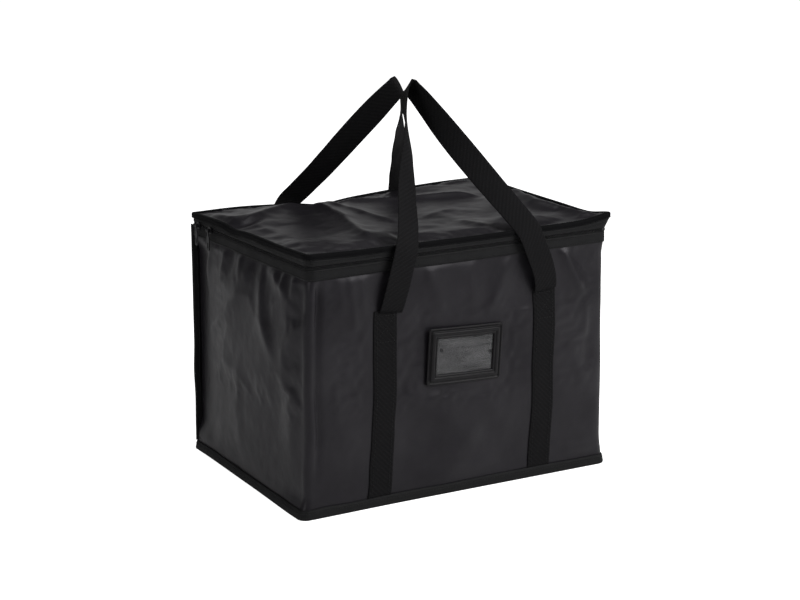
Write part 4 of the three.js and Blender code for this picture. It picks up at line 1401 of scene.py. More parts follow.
def oblong(half: tuple[float, float], radii: tuple[float, float], arc: int, step: float = 0.0,
           parts: int = 0) -> tuple[Array, Array]:
    """An oblong outline with rounded corners.

    Args:
        half: half its width and half its depth.
        radii: the radii of its two first and its two last corners.
        arc: how many points go round a corner.
        step: the distance between the points of its straights, where parts isn't given.
        parts: how many parts each straight has.

    Returns:
        Places and outward directions, with two values on the last axis.
    """
    (hx, hy), (front, rear) = half, radii
    corners = ((-hx, -hy, front, 180), (hx, -hy, front, 270), (hx, hy, rear, 0), (-hx, hy, rear, 90))
    places, out = [], []
    for k, (cx, cy, r, turn) in enumerate(corners):
        centre = np.array([cx - math.copysign(r, cx), cy - math.copysign(r, cy)])
        for angle in np.radians(np.linspace(turn, turn + 90, arc)):
            direction = np.array([math.cos(angle), math.sin(angle)])
            places.append(centre + direction * r)
            out.append(direction)
        nx, ny, nr, nturn = corners[(k + 1) % 4]
        after = np.array([nx - math.copysign(nr, nx), ny - math.copysign(nr, ny)])
        angle = math.radians(nturn)
        goal = after + np.array([math.cos(angle), math.sin(angle)]) * nr
        count = parts or max(int(np.linalg.norm(goal - places[-1]) / step), 2)
        start, direction = places[-1], out[-1]
        for i in range(1, count):
            places.append(start + (goal - start) * i / count)
            out.append(direction)
    return np.array(places), np.array(out)


def bag_ring(step: float) -> tuple[Array, Array]:
    """The walls' outline in plan: places and outward directions, with points a step apart."""
    return oblong((SIZE.half_width, SIZE.half_depth), (SIZE.corner, SIZE.rear_corner), 7, step)


def lid_grid(inset: float, step: float) -> tuple[Array, Array]:
    """A grid over the bag's plan, with its front corners rounded.

    Args:
        inset: how far inside the walls its edge lies.
        step: the distance between its lines.

    Returns:
        The grids of x and y: rows from front to back, columns from left to right.
    """
    hw, hd = SIZE.half_width - inset, SIZE.half_depth - inset
    r = max(SIZE.corner - inset, 0.003)
    inner = np.linspace(-hw + r, hw - r, int(2 * hw / step))
    arc = np.radians([0, 12, 30, 50, 70])
    ends = hw - r + r * np.cos(arc)
    x = np.concatenate([-ends, inner, ends[::-1]])
    over = np.clip(np.abs(x) - (hw - r), 0, r)
    front = -hd + r - np.sqrt(np.maximum(r * r - over * over, 0))
    rows = np.linspace(0, 1, int(2 * hd / step))
    y = front[None, :] + (hd - front)[None, :] * rows[:, None]
    return np.broadcast_to(x[None, :], y.shape).copy(), y


@dataclass
class Insulation(SubAssembly):
    """What is inside the walls: foam sheets, the base board and the silver lining."""

    sewing: Sewing
    foam: float = 0.0050
    film: float = 0.0004
    tub_half: tuple[float, float] = (0.2452, 0.1692)
    tub_corner: float = 0.006
    tub_low: float = 0.0132
    tub_high: float = 0.3535
    rim_profile: Line = ((0.0008, 0.3547), (0.0035, 0.3550), (0.0066, 0.3549))

    def build(self) -> None:
        """Makes and dresses the pieces."""
        for wall, node in ((Wall.FRONT, "front_foam"), (Wall.BACK, "back_foam"), (Wall.LEFT, "left_foam"),
                           (Wall.RIGHT, "right_foam")):
            self.pad(wall, node)
        self.base_pad()
        self.lining_walls()
        self.lining_floor()
        self.wardrobe.dress_node("base_board", Finish.BOARD)

    def pad(self, wall: Wall, node: str) -> None:
        """Makes the foam of one wall, thinner at its edges and swelling with the wall.

        Args:
            wall: the face that it lies behind.
            node: the piece of the frame that it stands for.
        """
        low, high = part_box(node)
        sideways = wall.sideways
        span = (low.y, high.y) if sideways else (low.x, high.x)
        margin = {Wall.FRONT: 0.038, Wall.BACK: 0.014}.get(wall, 0.006)
        first = span[0] + (0.032 if sideways else margin)
        a = np.linspace(first, min(span[1] - margin, 0.165) if sideways else span[1] - margin, 40)
        z = np.linspace(low.z, high.z, 34)
        grid_z, grid_a = np.meshgrid(z, a, indexing="ij")
        rim = np.minimum.reduce([grid_a - a[0], a[-1] - grid_a, grid_z - z[0], z[-1] - grid_z])
        thick = self.foam * (0.45 + 0.55 * smooth_step(rim, -0.001, 0.012))
        swell = 0.7 * WALLS.swell(wall, grid_a, grid_z)
        if sideways:
            inset = WALLS.pinch(grid_a, grid_z)
            swell = swell - 1.05 * inset
            thick = thick * (1 - 40 * inset)
        inner = {Wall.LEFT: low.x, Wall.RIGHT: high.x, Wall.FRONT: low.y, Wall.BACK: high.y}[wall]
        face = inner + wall.sign * (swell - 0.0024)
        points = np.stack([face, grid_a, grid_z], -1) if sideways else np.stack([grid_a, face, grid_z], -1)
        cloth = Cloth(f"{node}_pad", SLUMP.settle(points), thick, (0, 0, 0.18))
        self.keep(cloth.object, Finish.FOAM, "bag_body", node)

    def base_pad(self) -> None:
        """Makes the foam of the base."""
        low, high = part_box("base_foam")
        x, y = lid_grid(0.0014, 0.012)
        rim = inside_walls(x, y)
        thick = (high.z - low.z - 0.0008) * (0.28 + 0.72 * smooth_step(rim, 0.0, 0.060))
        points = np.stack([x, y, np.full(x.shape, high.z - 0.0002)], -1)
        cloth = Cloth("base_foam_pad", points, thick, (0, 0, -0.5))
        self.keep(cloth.object, Finish.FOAM, "bag_body", "base_foam")

    def lining_walls(self) -> None:
        """Makes the walls of the silver tub, with a rim turned over the foam."""
        ring, out = oblong(self.tub_half, (self.tub_corner, self.tub_corner), 5, 0.010)
        t = reach_along(ring)
        rows = []
        for z in np.linspace(self.tub_low, self.tub_high, 44):
            crease = 0.0012 * soft_noise(t, t * 0 + z, 0.055, 0.080, 61)
            crease = crease + 0.0005 * soft_noise(t, t * 0 + z, 0.02, 0.03, 62)
            hold = smooth_step(np.array(z), 0.013, 0.03)
            hold = hold * smooth_fall(np.array(z), 0.335, self.tub_high)
            inward = (np.abs(crease) * 1.5) * hold
            rows.append(set_off(ring, out, -inward, z))
        ripple = 0.0004 * line_noise(t, 0.03, 63)
        for offset, z in self.rim_profile:
            rows.append(set_off(ring, out, offset, z + ripple))
        tub = np.array(rows)[::-1]
        drawn = WALLS.pinch(tub[..., 1], tub[..., 2]) * smooth_step(np.abs(tub[..., 0]), 0.20, 0.24)
        tub[..., 0] -= np.sign(tub[..., 0]) * 1.1 * drawn
        walls = Cloth("lining_walls", SLUMP.settle(tub), self.film, (0, 0, 0.18), ring=True)
        self.keep(walls.object, Finish.LINING, "bag_body", "inner_liner")
        line = walls.row(0.03)[0]
        up = np.broadcast_to(np.array([0, 0, 1.0]), line.shape)
        self.sewing.run(line + self.film * up, up, closed=True)

    def lining_floor(self) -> None:
        """Makes the floor of the silver tub."""
        hx, hy = self.tub_half
        y, x = np.meshgrid(np.linspace(-hy + 0.001, hy - 0.001, 40), np.linspace(-hx + 0.001, hx - 0.001, 56),
                           indexing="ij")
        edge = np.minimum(hx - np.abs(x), hy - np.abs(y))
        lift = (0.0004 + 0.0008 * np.abs(soft_noise(x, y, 0.06, 0.05, 64))) * smooth_step(edge, 0, 0.02)
        floor = Cloth("lining_floor", np.stack([x, y, 0.0127 + lift], -1), self.film, (0, 0, -1))
        self.keep(floor.object, Finish.LINING, "bag_body", "inner_liner")


@dataclass
class ZipRun(SubAssembly):
    """The zip round three sides: its tapes, its two rows of coil, and its sliders and pulls."""

    body_sewing: Sewing
    lid_sewing: Sewing
    rear_end: float = 0.172
    coil_end: float = 0.164
    tooth: float = 0.0024
    tape: float = 0.0009
    stand: float = 0.0013
    band_low: float = 0.3452
    band_height: float = 0.0158
    hang_low: float = 0.3649
    hang_height: float = 0.0082

    def build(self) -> None:
        """Makes and dresses the pieces."""
        self.lower_tape()
        self.upper_tape()
        self.coil("lower_coil", "bag_body", 0.36135, 0.36285, 1)
        self.coil("upper_coil", "lid", 0.36315, 0.36465, -1)
        for node in ("left_zip_stop", "right_zip_stop", "front_slider", "rear_slider", "front_pull",
                     "rear_pull"):
            self.wardrobe.dress_node(node, Finish.HARDWARE)

    def line(self, end: float, step: float) -> tuple[Array, Array, Array]:
        """The zip's line round the bag.

        Args:
            end: the y where it starts and ends.
            step: the distance between its points.

        Returns:
            Places, outward directions, and distances along the wrap's path.
        """
        first = SIZE.rear_seam - end
        s = np.linspace(first, PATH.length - first - 1e-6, int((PATH.length - 2 * first) / step))
        place, out = PATH.at(s)
        return place, out, s

    def lower_tape(self) -> None:
        """Makes the woven band under the zip."""
        place, out, s = self.line(self.rear_end, 0.004)
        rows = []
        for share in np.linspace(0, 1, 8):
            sway = 0.0010 * line_noise(s, 0.045, 21)
            z = self.band_low + share * self.band_height + (1 - share) * sway
            gather = np.abs(soft_noise(s, s * 0 + share * 0.01, 0.030, 0.012, 22))
            bow = self.stand + 0.0008 * (1 - share) * gather
            rows.append(set_off(place, out, bow, z))
        cloth = Cloth("body_zip_band", SLUMP.settle(np.array(rows)), self.tape, (0, 0.05, 0.353))
        self.keep(cloth.object, Finish.BINDING, "bag_body", "body_zip_tape")
        for share in (0.14, 0.78):
            self.body_sewing.run(*cloth.row(share))

    def upper_tape(self) -> None:
        """Makes the tape that hangs from the lid's edge down to the coil."""
        place, out, s = self.line(self.rear_end, 0.004)
        lift = LID.lie(place[:, 0], place[:, 1])
        rows = []
        for share in np.linspace(0, 1, 6):
            z = self.hang_low + share * (self.hang_height + lift)
            bow = self.stand + 0.0007 * math.sin(share * math.pi) * line_noise(s, 0.040, 23)
            points = set_off(place, out, bow, z)
            rows.append(points * (1 - share) + LID.flare(points) * share)
        cloth = Cloth("lid_zip_band", SLUMP.settle(np.array(rows)), self.tape, (0, 0.05, 0.369))
        self.keep(cloth.object, Finish.BINDING, "lid", "lid_zip_tape")
        self.lid_sewing.run(*cloth.row(0.55))

    def coil(self, node: str, body: str, low: float, high: float, meeting: int) -> None:
        """Makes one row of coil, as a strip with a tooth at every turn.

        Args:
            node: the piece of the frame that it stands for.
            body: the body that it rides on.
            low: its lower edge.
            high: its upper edge.
            meeting: 1 where it meets the other row at its top, -1 at its foot.
        """
        place, out, s = self.line(self.coil_end, self.tooth / 4)
        turn = s / self.tooth + (0.5 if meeting < 0 else 0.0)
        wave = np.abs(np.sin(math.pi * turn))
        reach = self.stand + 0.0012 * wave
        rows = []
        middle = (low + high) / 2
        for share in (-1.0, -0.6, 0.0, 0.6, 1.0):
            z = middle + share * (high - low) / 2 * (0.86 + 0.14 * wave)
            bulge = reach * math.sqrt(max(1 - 0.75 * share * share, 0))
            rows.append(set_off(place, out, bulge, z))
        cloth = Cloth(f"{node}_teeth", SLUMP.settle(np.array(rows)), self.tape, (0, 0.05, middle))
        self.keep(cloth.object, Finish.COIL, body, node)


@dataclass
class Lid(SubAssembly):
    """The limp lid: cover, foam, lining, edge tape and the cloth strip that it turns on."""

    sewing: Sewing
    cover_at: float = 0.3799
    foam_at: float = 0.3754
    lining_at: float = 0.3728
    edge_top: float = 0.3812
    edge_profile: Line = (
        (-0.0062, 0.3806), (-0.0030, 0.3811), (0.0002, 0.3812), (0.0016, 0.3808), (0.0023, 0.3798),
        (0.0025, 0.3780), (0.0024, 0.3755), (0.0023, 0.3736), (0.0018, 0.3731), (0.0006, 0.3731))
    strip_low: float = 0.3452
    strip_height: float = 0.0275
    drape: Drape = Drape(pressure=0.8, sink=0.0010)

    def build(self) -> None:
        """Makes and dresses the pieces."""
        self.cover()
        self.pad()
        self.lining()
        self.edge_tape()
        self.hinge_strip()

    def cover(self) -> None:
        """Makes the folded top cloth."""
        x, y = lid_grid(0.0003, 0.0036)
        cover = np.stack([x, y, self.cover_at + LID.lie(x, y) + LID.cover(x, y)], -1)
        rim = inside_walls(x, y)
        up = np.broadcast_to(np.array([0.0, 0.0, 1.0]), cover.shape)
        cover = self.drape.settle(cover, smooth_fall(rim, 0.005, 0.010), up)
        cloth = Cloth("lid_cover", SLUMP.settle(LID.flare(cover)), SIZE.shell, (0, 0, 0))
        self.keep(cloth.object, Finish.SHELL, "lid", "lid_outer")

    def pad(self) -> None:
        """Makes the foam under the cover, thinner at its edges."""
        x, y = lid_grid(0.0016, 0.012)
        rim = inside_walls(x, y)
        thick = 0.0023 * (0.6 + 0.4 * smooth_step(rim, 0.0, 0.016))
        pad = np.stack([x, y, self.foam_at + LID.lie(x, y)], -1)
        foam = Cloth("lid_foam_pad", SLUMP.settle(pad), thick, (0, 0, 0))
        self.keep(foam.object, Finish.FOAM, "lid", "lid_foam")

    def lining(self) -> None:
        """Makes the silver sheet under the foam."""
        x, y = lid_grid(0.0006, 0.009)
        crease = 0.0007 * np.abs(soft_noise(x, y, 0.05, 0.04, 81))
        crease = crease + 0.0003 * np.abs(soft_noise(x, y, 0.018, 0.015, 82))
        under = np.stack([x, y, self.lining_at + LID.lie(x, y) - crease], -1)
        lining = Cloth("lid_lining", SLUMP.settle(under), 0.0004, (0, 0, 0))
        self.keep(lining.object, Finish.LINING, "lid", "lid_liner")

    def edge_tape(self) -> None:
        """Makes the tape folded over the lid's edge."""
        ring, out = bag_ring(0.005)
        t = reach_along(ring)
        lift = LID.lie(ring[:, 0], ring[:, 1])
        wave = 0.0006 * line_noise(t, 0.05, 11)
        rows = []
        for offset, height in self.edge_profile:
            low = np.clip((self.edge_top - height) / 0.008, 0, 1)
            places = ring + out * offset
            drop = np.where(offset < 0, LID.lie(places[:, 0], places[:, 1]), lift)
            rows.append(LID.flare(set_off(ring, out, offset, height + drop + wave * (0.4 + 0.6 * low))))
        cloth = Cloth("lid_edge_tape", SLUMP.settle(np.array(rows)), 0.0005, (0, 0, 0.3765), ring=True)
        self.keep(cloth.object, Finish.EDGE_TAPE, "lid", "lid_binding")
        for share in (0.12, 0.74):
            line, normals = cloth.row(share)
            self.sewing.run(line, normals, closed=True)

    def hinge_strip(self) -> None:
        """Makes the strip along the back that the lid turns on."""
        x = np.linspace(-SIZE.half_width + 0.006, SIZE.half_width - 0.006, 110)
        rows = []
        for share in np.linspace(0, 1, 14):
            z = self.strip_low + share * self.strip_height
            ripple = 0.0007 * soft_noise(x, x * 0 + share * 0.02, 0.05, 0.02, 12)
            depth = SIZE.half_depth + 0.0013 + 0.0005 * share + np.abs(ripple) * math.sin(math.pi * share)
            lift = share * LID.lie(x, np.full(x.shape, SIZE.half_depth))
            rows.append(np.stack([x, depth, z + lift], -1))
        cloth = Cloth("hinge_strip", SLUMP.settle(np.array(rows)), 0.0009, (0, 0, 0.36))
        self.wardrobe.dress(cloth.object, Finish.BINDING)
        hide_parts("hinge_tape")
        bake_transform(cloth.object)
        self.pieces.append(cloth.object)


def strap_section(width: float, thickness: float) -> tuple[Array, Array]:
    """The section of a strap with rounded edges.

    Args:
        width: the strap's width.
        thickness: its thickness.

    Returns:
        Places across the strap, and how thick it is there.
    """
    share = np.array([-1.0, -0.985, -0.94, -0.80, -0.5, -0.2, 0.2, 0.5, 0.80, 0.94, 0.985, 1.0])
    thick = thickness * np.array([0.30, 0.72, 1.0, 0.96, 0.92, 0.92, 0.92, 0.92, 0.96, 1.0, 0.72, 0.30])
    return share * width / 2, thick


@dataclass(frozen=True)
class HandleRoute:
    """Where one handle runs: its two feet, where its legs pass the lid's edge, and its top.

    Lengths are in metres and turns in degrees. The fold values are not used.
    """

    feet: tuple[float, float]
    edges: tuple[float, float]
    top_x: float
    top_z: float
    stand: float
    bow: float
    fold_tilt: float
    fold_off: float
    half_gap: float = 0.017
    top_lean: float = 39.0
    top_drop: float = 0.0108

    def points(self, wall: Wall, anchor: float) -> Array:
        """The points that the handle's middle line goes through, from left to right.

        Args:
            wall: the face that it is sewn to.
            anchor: the height where it leaves that face.

        Returns:
            The points, in order.
        """
        sign = wall.sign
        start, edge_y, edge_z = anchor - 0.003, SIZE.half_depth + 0.0064, SIZE.lid_top - 0.002
        rise, climb, reach = edge_z - start, self.top_z - edge_z, self.half_gap - edge_y
        line = []
        for foot, edge, inner in zip(self.feet, self.edges, (-0.009, 0.009)):
            cloth = float(WALLS.stand(wall, np.array([foot]), np.array([start]))[0])
            face = SIZE.half_depth + 0.0012 + cloth
            leg = [(foot, face + 0.0022, start)]
            for share, held in ((0.12, 0.75), (0.34, 1.0), (0.66, 0.75)):
                aside = share ** self.bow
                leg.append((foot + aside * (edge - foot), face + share * (edge_y - face) + held * self.stand,
                            start + share * rise))
            leg.append((edge, edge_y + 0.0012, edge_z))
            for share, lean in ((0.12, 0.10), (0.34, 0.34), (0.65, 0.65)):
                leg.append((edge + (self.top_x - edge) * share, edge_y + lean * reach,
                            edge_z + share * climb))
            out = self.half_gap + self.top_drop * math.sin(math.radians(self.top_lean))
            leg.append((self.top_x + inner, out, self.top_z - self.top_drop))
            line.append([(x, sign * y, z) for x, y, z in leg])
        return np.array(line[0] + [(self.top_x, sign * self.half_gap, self.top_z)] + line[1][::-1])


@dataclass
class Webbing(SubAssembly):
    """The straps sewn down the front and back, and the two carrying handles."""

    sewing: Sewing
    width: float = 0.038
    strap: float = 0.0016
    handle: float = 0.0018
    strap_x: float = 0.1355
    slant: float = 0.0050
    foot: float = 0.0143
    anchor: float = 0.290
    front_route: HandleRoute = HandleRoute(
        feet=(-0.123, 0.141), edges=(-0.095, 0.110), top_x=0.006, top_z=0.5755, stand=0.008, bow=1.35,
        fold_tilt=0.0, fold_off=0.0066)
    back_route: HandleRoute = HandleRoute(
        feet=(-0.134, 0.146), edges=(-0.091, 0.108), top_x=0.010, top_z=0.5705, stand=0.004, bow=1.0,
        fold_tilt=21.5, fold_off=0.0036)

    def build(self) -> None:
        """Makes and dresses the pieces."""
        for wall, name in ((Wall.FRONT, "front"), (Wall.BACK, "back")):
            for side, hand in ((-1, "left"), (1, "right")):
                self.sewn_strap(wall, side, f"{name}_{hand}_strap")
        self.carry_handle(Wall.FRONT, self.front_route, "front_handle")
        self.carry_handle(Wall.BACK, self.back_route, "back_handle")

    def face(self, wall: Wall, x: Array, z: Array, stand: float) -> Array:
        """Places a small distance off the cloth of the front or back.

        Args:
            wall: the front or the back.
            x: places across it.
            z: heights.
            stand: the distance off the cloth.

        Returns:
            The places, with x, y and z last.
        """
        y = wall.sign * (SIZE.half_depth + WALLS.stand(wall, x, z) + stand)
        return np.stack([x, y, z], -1)

    def sewn_strap(self, wall: Wall, side: int, node: str) -> None:
        """Makes one strap that lies on the cloth, and its stitches.

        Args:
            wall: the face that it is sewn to.
            side: -1 for the left strap, 1 for the right.
            node: the piece of the frame that it stands for.
        """
        across, thick = strap_section(self.width, self.strap)
        z = np.linspace(self.foot, self.anchor, 80)
        share = (z - z[0]) / (z[-1] - z[0])
        seed = 200 + 10 * side + (3 if wall is Wall.FRONT else 5)
        sway = 0.0030 * line_noise(z, 0.065, seed) * np.sin(np.pi * share) + self.slant * share
        grid_x = side * self.strap_x + across[:, None] + sway[None, :]
        grid_z = np.broadcast_to(z[None, :], grid_x.shape)
        places = self.face(wall, grid_x, grid_z, 0.0003)
        places[..., 1] += wall.sign * thick[:, None]
        cloth = Cloth(f"{node}_web", SLUMP.settle(places), np.broadcast_to(thick[:, None], grid_x.shape),
                      (0, 0, 0.15))
        self.keep(cloth.object, Finish.WEBBING, "bag_body", node)
        for part in (0.30, 0.70):
            self.sewing.run(*cloth.row(part))
        self.cross_box(cloth)

    def cross_box(self, cloth: Cloth) -> None:
        """Sews the box with a cross near the top of a strap.

        Args:
            cloth: the strap.
        """
        rows, columns = cloth.places.shape[:2]
        top, foot = columns - 3, columns - 14
        near, far = 3, rows - 4
        for start, end in (((near, foot), (far, foot)), ((near, top), (far, top)), ((near, foot), (far, top)),
                           ((far, foot), (near, top))):
            self.cross_leg(cloth, start, end)

    def cross_leg(self, cloth: Cloth, start: tuple[int, int], end: tuple[int, int]) -> None:
        """Sews one straight leg of the box or the cross.

        Args:
            cloth: the strap.
            start: the row and column of the strap's grid where the leg starts.
            end: the row and column where it ends.
        """
        rows, columns = cloth.places.shape[:2]
        share = np.linspace(0, 1, 16)
        r, c = (a + (b - a) * share for a, b in zip(start, end))
        i = np.floor(np.minimum(r, rows - 2)).astype(int)
        j = np.floor(np.minimum(c, columns - 2)).astype(int)
        fr, fc = (r - i)[:, None], (c - j)[:, None]
        p = cloth.places
        line = (p[i, j] * (1 - fr) * (1 - fc) + p[i + 1, j] * fr * (1 - fc)
                + p[i, j + 1] * (1 - fr) * fc + p[i + 1, j + 1] * fr * fc)
        self.sewing.run(line, cloth.normals[i, j])

    def carry_handle(self, wall: Wall, route: HandleRoute, node: str) -> None:
        """Makes one handle: flat on the face at its ends, on edge at its top.

        Args:
            wall: the face that it is sewn to.
            route: where it runs.
            node: the piece of the frame that it stands for.
        """
        sign = wall.sign
        line = curve_through(route.points(wall, self.anchor), 170)
        along = np.gradient(line, axis=0)
        along /= np.linalg.norm(along, axis=1, keepdims=True)
        count = len(line)
        u = np.linspace(0, 1, count)
        from_end = np.minimum(u, 1 - u)
        lean = np.radians(route.top_lean) * smooth_step(from_end, 0.10, 0.30)
        outward = np.stack([np.zeros(count), sign * np.cos(lean), np.sin(lean)], -1)
        outward -= along * np.sum(outward * along, 1, keepdims=True)
        outward /= np.linalg.norm(outward, axis=1, keepdims=True)
        in_plane = np.cross(along, outward) * sign
        twist = math.pi / 2 * np.clip((from_end - 0.13) / 0.37, 0, 1) ** 1.2
        across = in_plane * np.cos(twist)[:, None] + outward * np.sin(twist)[:, None]
        normal = np.cross(along, across)
        normal /= np.linalg.norm(normal, axis=1, keepdims=True)
        places_across, thick = strap_section(self.width, self.handle)
        cup = 0.0010 * (1 - (places_across / (self.width / 2)) ** 2)
        loose = smooth_step(from_end, 0.05, 0.2)
        ripple = 0.0006 * soft_noise(u[None, :] * 0.8, places_across[:, None] * 1.0, 0.022, 0.02, 301 + sign)
        places = (line[None] + across[None] * places_across[:, None, None]
                  + normal[None] * (thick[:, None] / 2 + cup[:, None] * loose[None, :] + ripple)[..., None])
        base = places - normal[None] * thick[:, None, None]
        made = loft(f"{node}_web", SLUMP.settle(np.concatenate([places, base[::-1]], 0)), False)
        self.keep(made, Finish.WEBBING, node, node)
        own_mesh(made)


def curve_through(points: Array, count: int) -> Array:
    """A smooth curve through points, at even distances.

    Args:
        points: the points, in order.
        count: how many places to return.

    Returns:
        Places along the curve.
    """
    def share(t: Array, low: float, high: float, first: Array, last: Array) -> Array:
        """The first place where t is low, the last where it is high, and in proportion between."""
        return (high - t) / (high - low) * first + (t - low) / (high - low) * last

    ends = np.concatenate([[2 * points[0] - points[1]], points, [2 * points[-1] - points[-2]]])
    gaps = np.linalg.norm(np.diff(ends, axis=0), axis=1) ** 0.5
    knots = np.concatenate([[0], np.cumsum(gaps)])
    fine = []
    for i in range(1, len(ends) - 2):
        t0, t1, t2, t3 = knots[i - 1 : i + 3]
        t = np.linspace(t1, t2, 40, endpoint=i == len(ends) - 3)[:, None]
        p0, p1, p2, p3 = ends[i - 1 : i + 3]
        a1, a2, a3 = share(t, t0, t1, p0, p1), share(t, t1, t2, p1, p2), share(t, t2, t3, p2, p3)
        b1, b2 = share(t, t0, t2, a1, a2), share(t, t1, t3, a2, a3)
        fine.append(share(t, t1, t2, b1, b2))
    fine = np.concatenate(fine)
    reach = reach_along(fine)
    return along_line(fine, reach, np.linspace(0, reach[-1], count))


@dataclass
class LabelHolder(SubAssembly):
    """The label holder: a backing sheet, a clear window with two small rings, and a stepped frame."""

    open_width: float = 0.096
    open_height: float = 0.053
    border: float = 0.0155
    askew: float = 3.0
    profile: Line = (
        (0.0, 0.0020), (0.0002, 0.0036), (0.0009, 0.0042), (0.0023, 0.0042), (0.0030, 0.0037),
        (0.0033, 0.0031), (0.0050, 0.0030), (0.0054, 0.0036), (0.0058, 0.0054), (0.0066, 0.0060),
        (0.0104, 0.0061), (0.0111, 0.0057), (0.0115, 0.0047), (0.0121, 0.0046), (0.0126, 0.0051),
        (0.0141, 0.0050), (0.0150, 0.0044), (0.0155, 0.0036), (0.0155, 0.0021),
        (0.0151, 0.0020), (0.0105, 0.0020), (0.0055, 0.0020), (0.0006, 0.0020))
    ring_radius: float = 0.0021
    ring_girth: float = 0.0006

    def build(self) -> None:
        """Makes and dresses the pieces."""
        self.panel("label_backing", 0.0135, 0.0003, 0.0008, Finish.VINYL, 0.0)
        self.panel("label_window", 0.007, 0.0015, 0.0004, Finish.FILM, 0.0007)
        self.stepped_frame()
        self.eyelet("label_left_eyelet", -0.0405, 0.0090)
        self.eyelet("label_right_eyelet", 0.0440, 0.0000)

    def seat(self, x: Array, z: Array, stand: Array | float) -> Array:
        """Places off the front cloth, on a plate sewn a little askew across its swell.

        Args:
            x: places across the plate from its middle.
            z: places up the plate from its middle.
            stand: how far they stand off the plate's seat.

        Returns:
            The places, with x, y and z last.
        """
        swell = WALLS.swell(Wall.FRONT, np.array(0.0), np.array(SIZE.label_height))
        base = SIZE.half_depth + float(swell) + 0.0010
        turn = math.radians(self.askew)
        aside = x * math.cos(turn) + z * math.sin(turn)
        rise = z * math.cos(turn) - x * math.sin(turn)
        warp = -0.0012 * (x / 0.06) ** 2 - 0.030 * x + 0.012 * z
        return np.stack([aside, -(base + warp + stand), rise + SIZE.label_height], -1)

    def panel(self, node: str, lap: float, stand: float, thick: float, finish: Finish,
              crumple: float) -> None:
        """Makes a flat panel that laps under the frame.

        Args:
            node: the piece of the frame that it stands for.
            lap: how far it reaches past the opening.
            stand: how far it stands off the cloth.
            thick: its thickness.
            finish: what it is made of.
            crumple: the height of its crumples.
        """
        half_x, half_z = self.open_width / 2 + lap, self.open_height / 2 + lap
        z, x = np.meshgrid(np.linspace(-half_z, half_z, 64), np.linspace(-half_x, half_x, 112), indexing="ij")
        bumps = crumple * (0.5 * soft_noise(x, z, 0.040, 0.012, 5) + 0.10 * soft_noise(x, z, 0.015, 0.005, 6))
        nick = Fold(((-0.009, -0.007), (0.013, -0.001)), height=1.6 * crumple, width=0.003, steep=0.4,
                    crest=0.0006, fade=0.006)
        bumps = bumps + nick.lift(x, z)
        inner = smooth_step(self.open_width / 2 - np.abs(x), 0, 0.01)
        inner = inner * smooth_step(self.open_height / 2 - np.abs(z), 0, 0.008)
        places = self.seat(x, z, stand + thick + np.maximum(bumps, -0.0003) * inner)
        cloth = Cloth(f"{node}_sheet", places, thick, (0, 0, SIZE.label_height))
        self.keep(cloth.object, finish, "bag_body", node)

    def stepped_frame(self) -> None:
        """Makes the moulded frame with its two steps and soft edges."""
        half_x, half_z = self.open_width / 2 + self.border, self.open_height / 2 + self.border
        rows = []
        for inset, stand in self.profile:
            corner = max(0.0034 - inset * 0.12, 0.0014)
            outline = oblong((half_x - inset, half_z - inset), (corner, corner), 6, parts=12)[0]
            rows.append(self.seat(outline[:, 0], outline[:, 1], stand))
        made = loft("label_frame_mould", np.array(rows), True)
        self.keep(made, Finish.VINYL, "bag_body", "label_frame")

    def eyelet(self, name: str, x: float, z: float) -> None:
        """Makes one small ring on the window.

        Args:
            name: the piece's name.
            x: its place across the window.
            z: its place above the window's middle.
        """
        round_ring = np.radians(np.arange(0, 360, 15))
        rows = []
        for turn in np.radians(np.arange(0, 360, 45)):
            reach = self.ring_radius + self.ring_girth * math.cos(turn)
            rows.append(self.seat(x + reach * np.cos(round_ring), z + reach * np.sin(round_ring),
                                  0.0022 + self.ring_girth * math.sin(turn)))
        self.keep(loft(name, np.array(rows), True), Finish.VINYL, "bag_body")


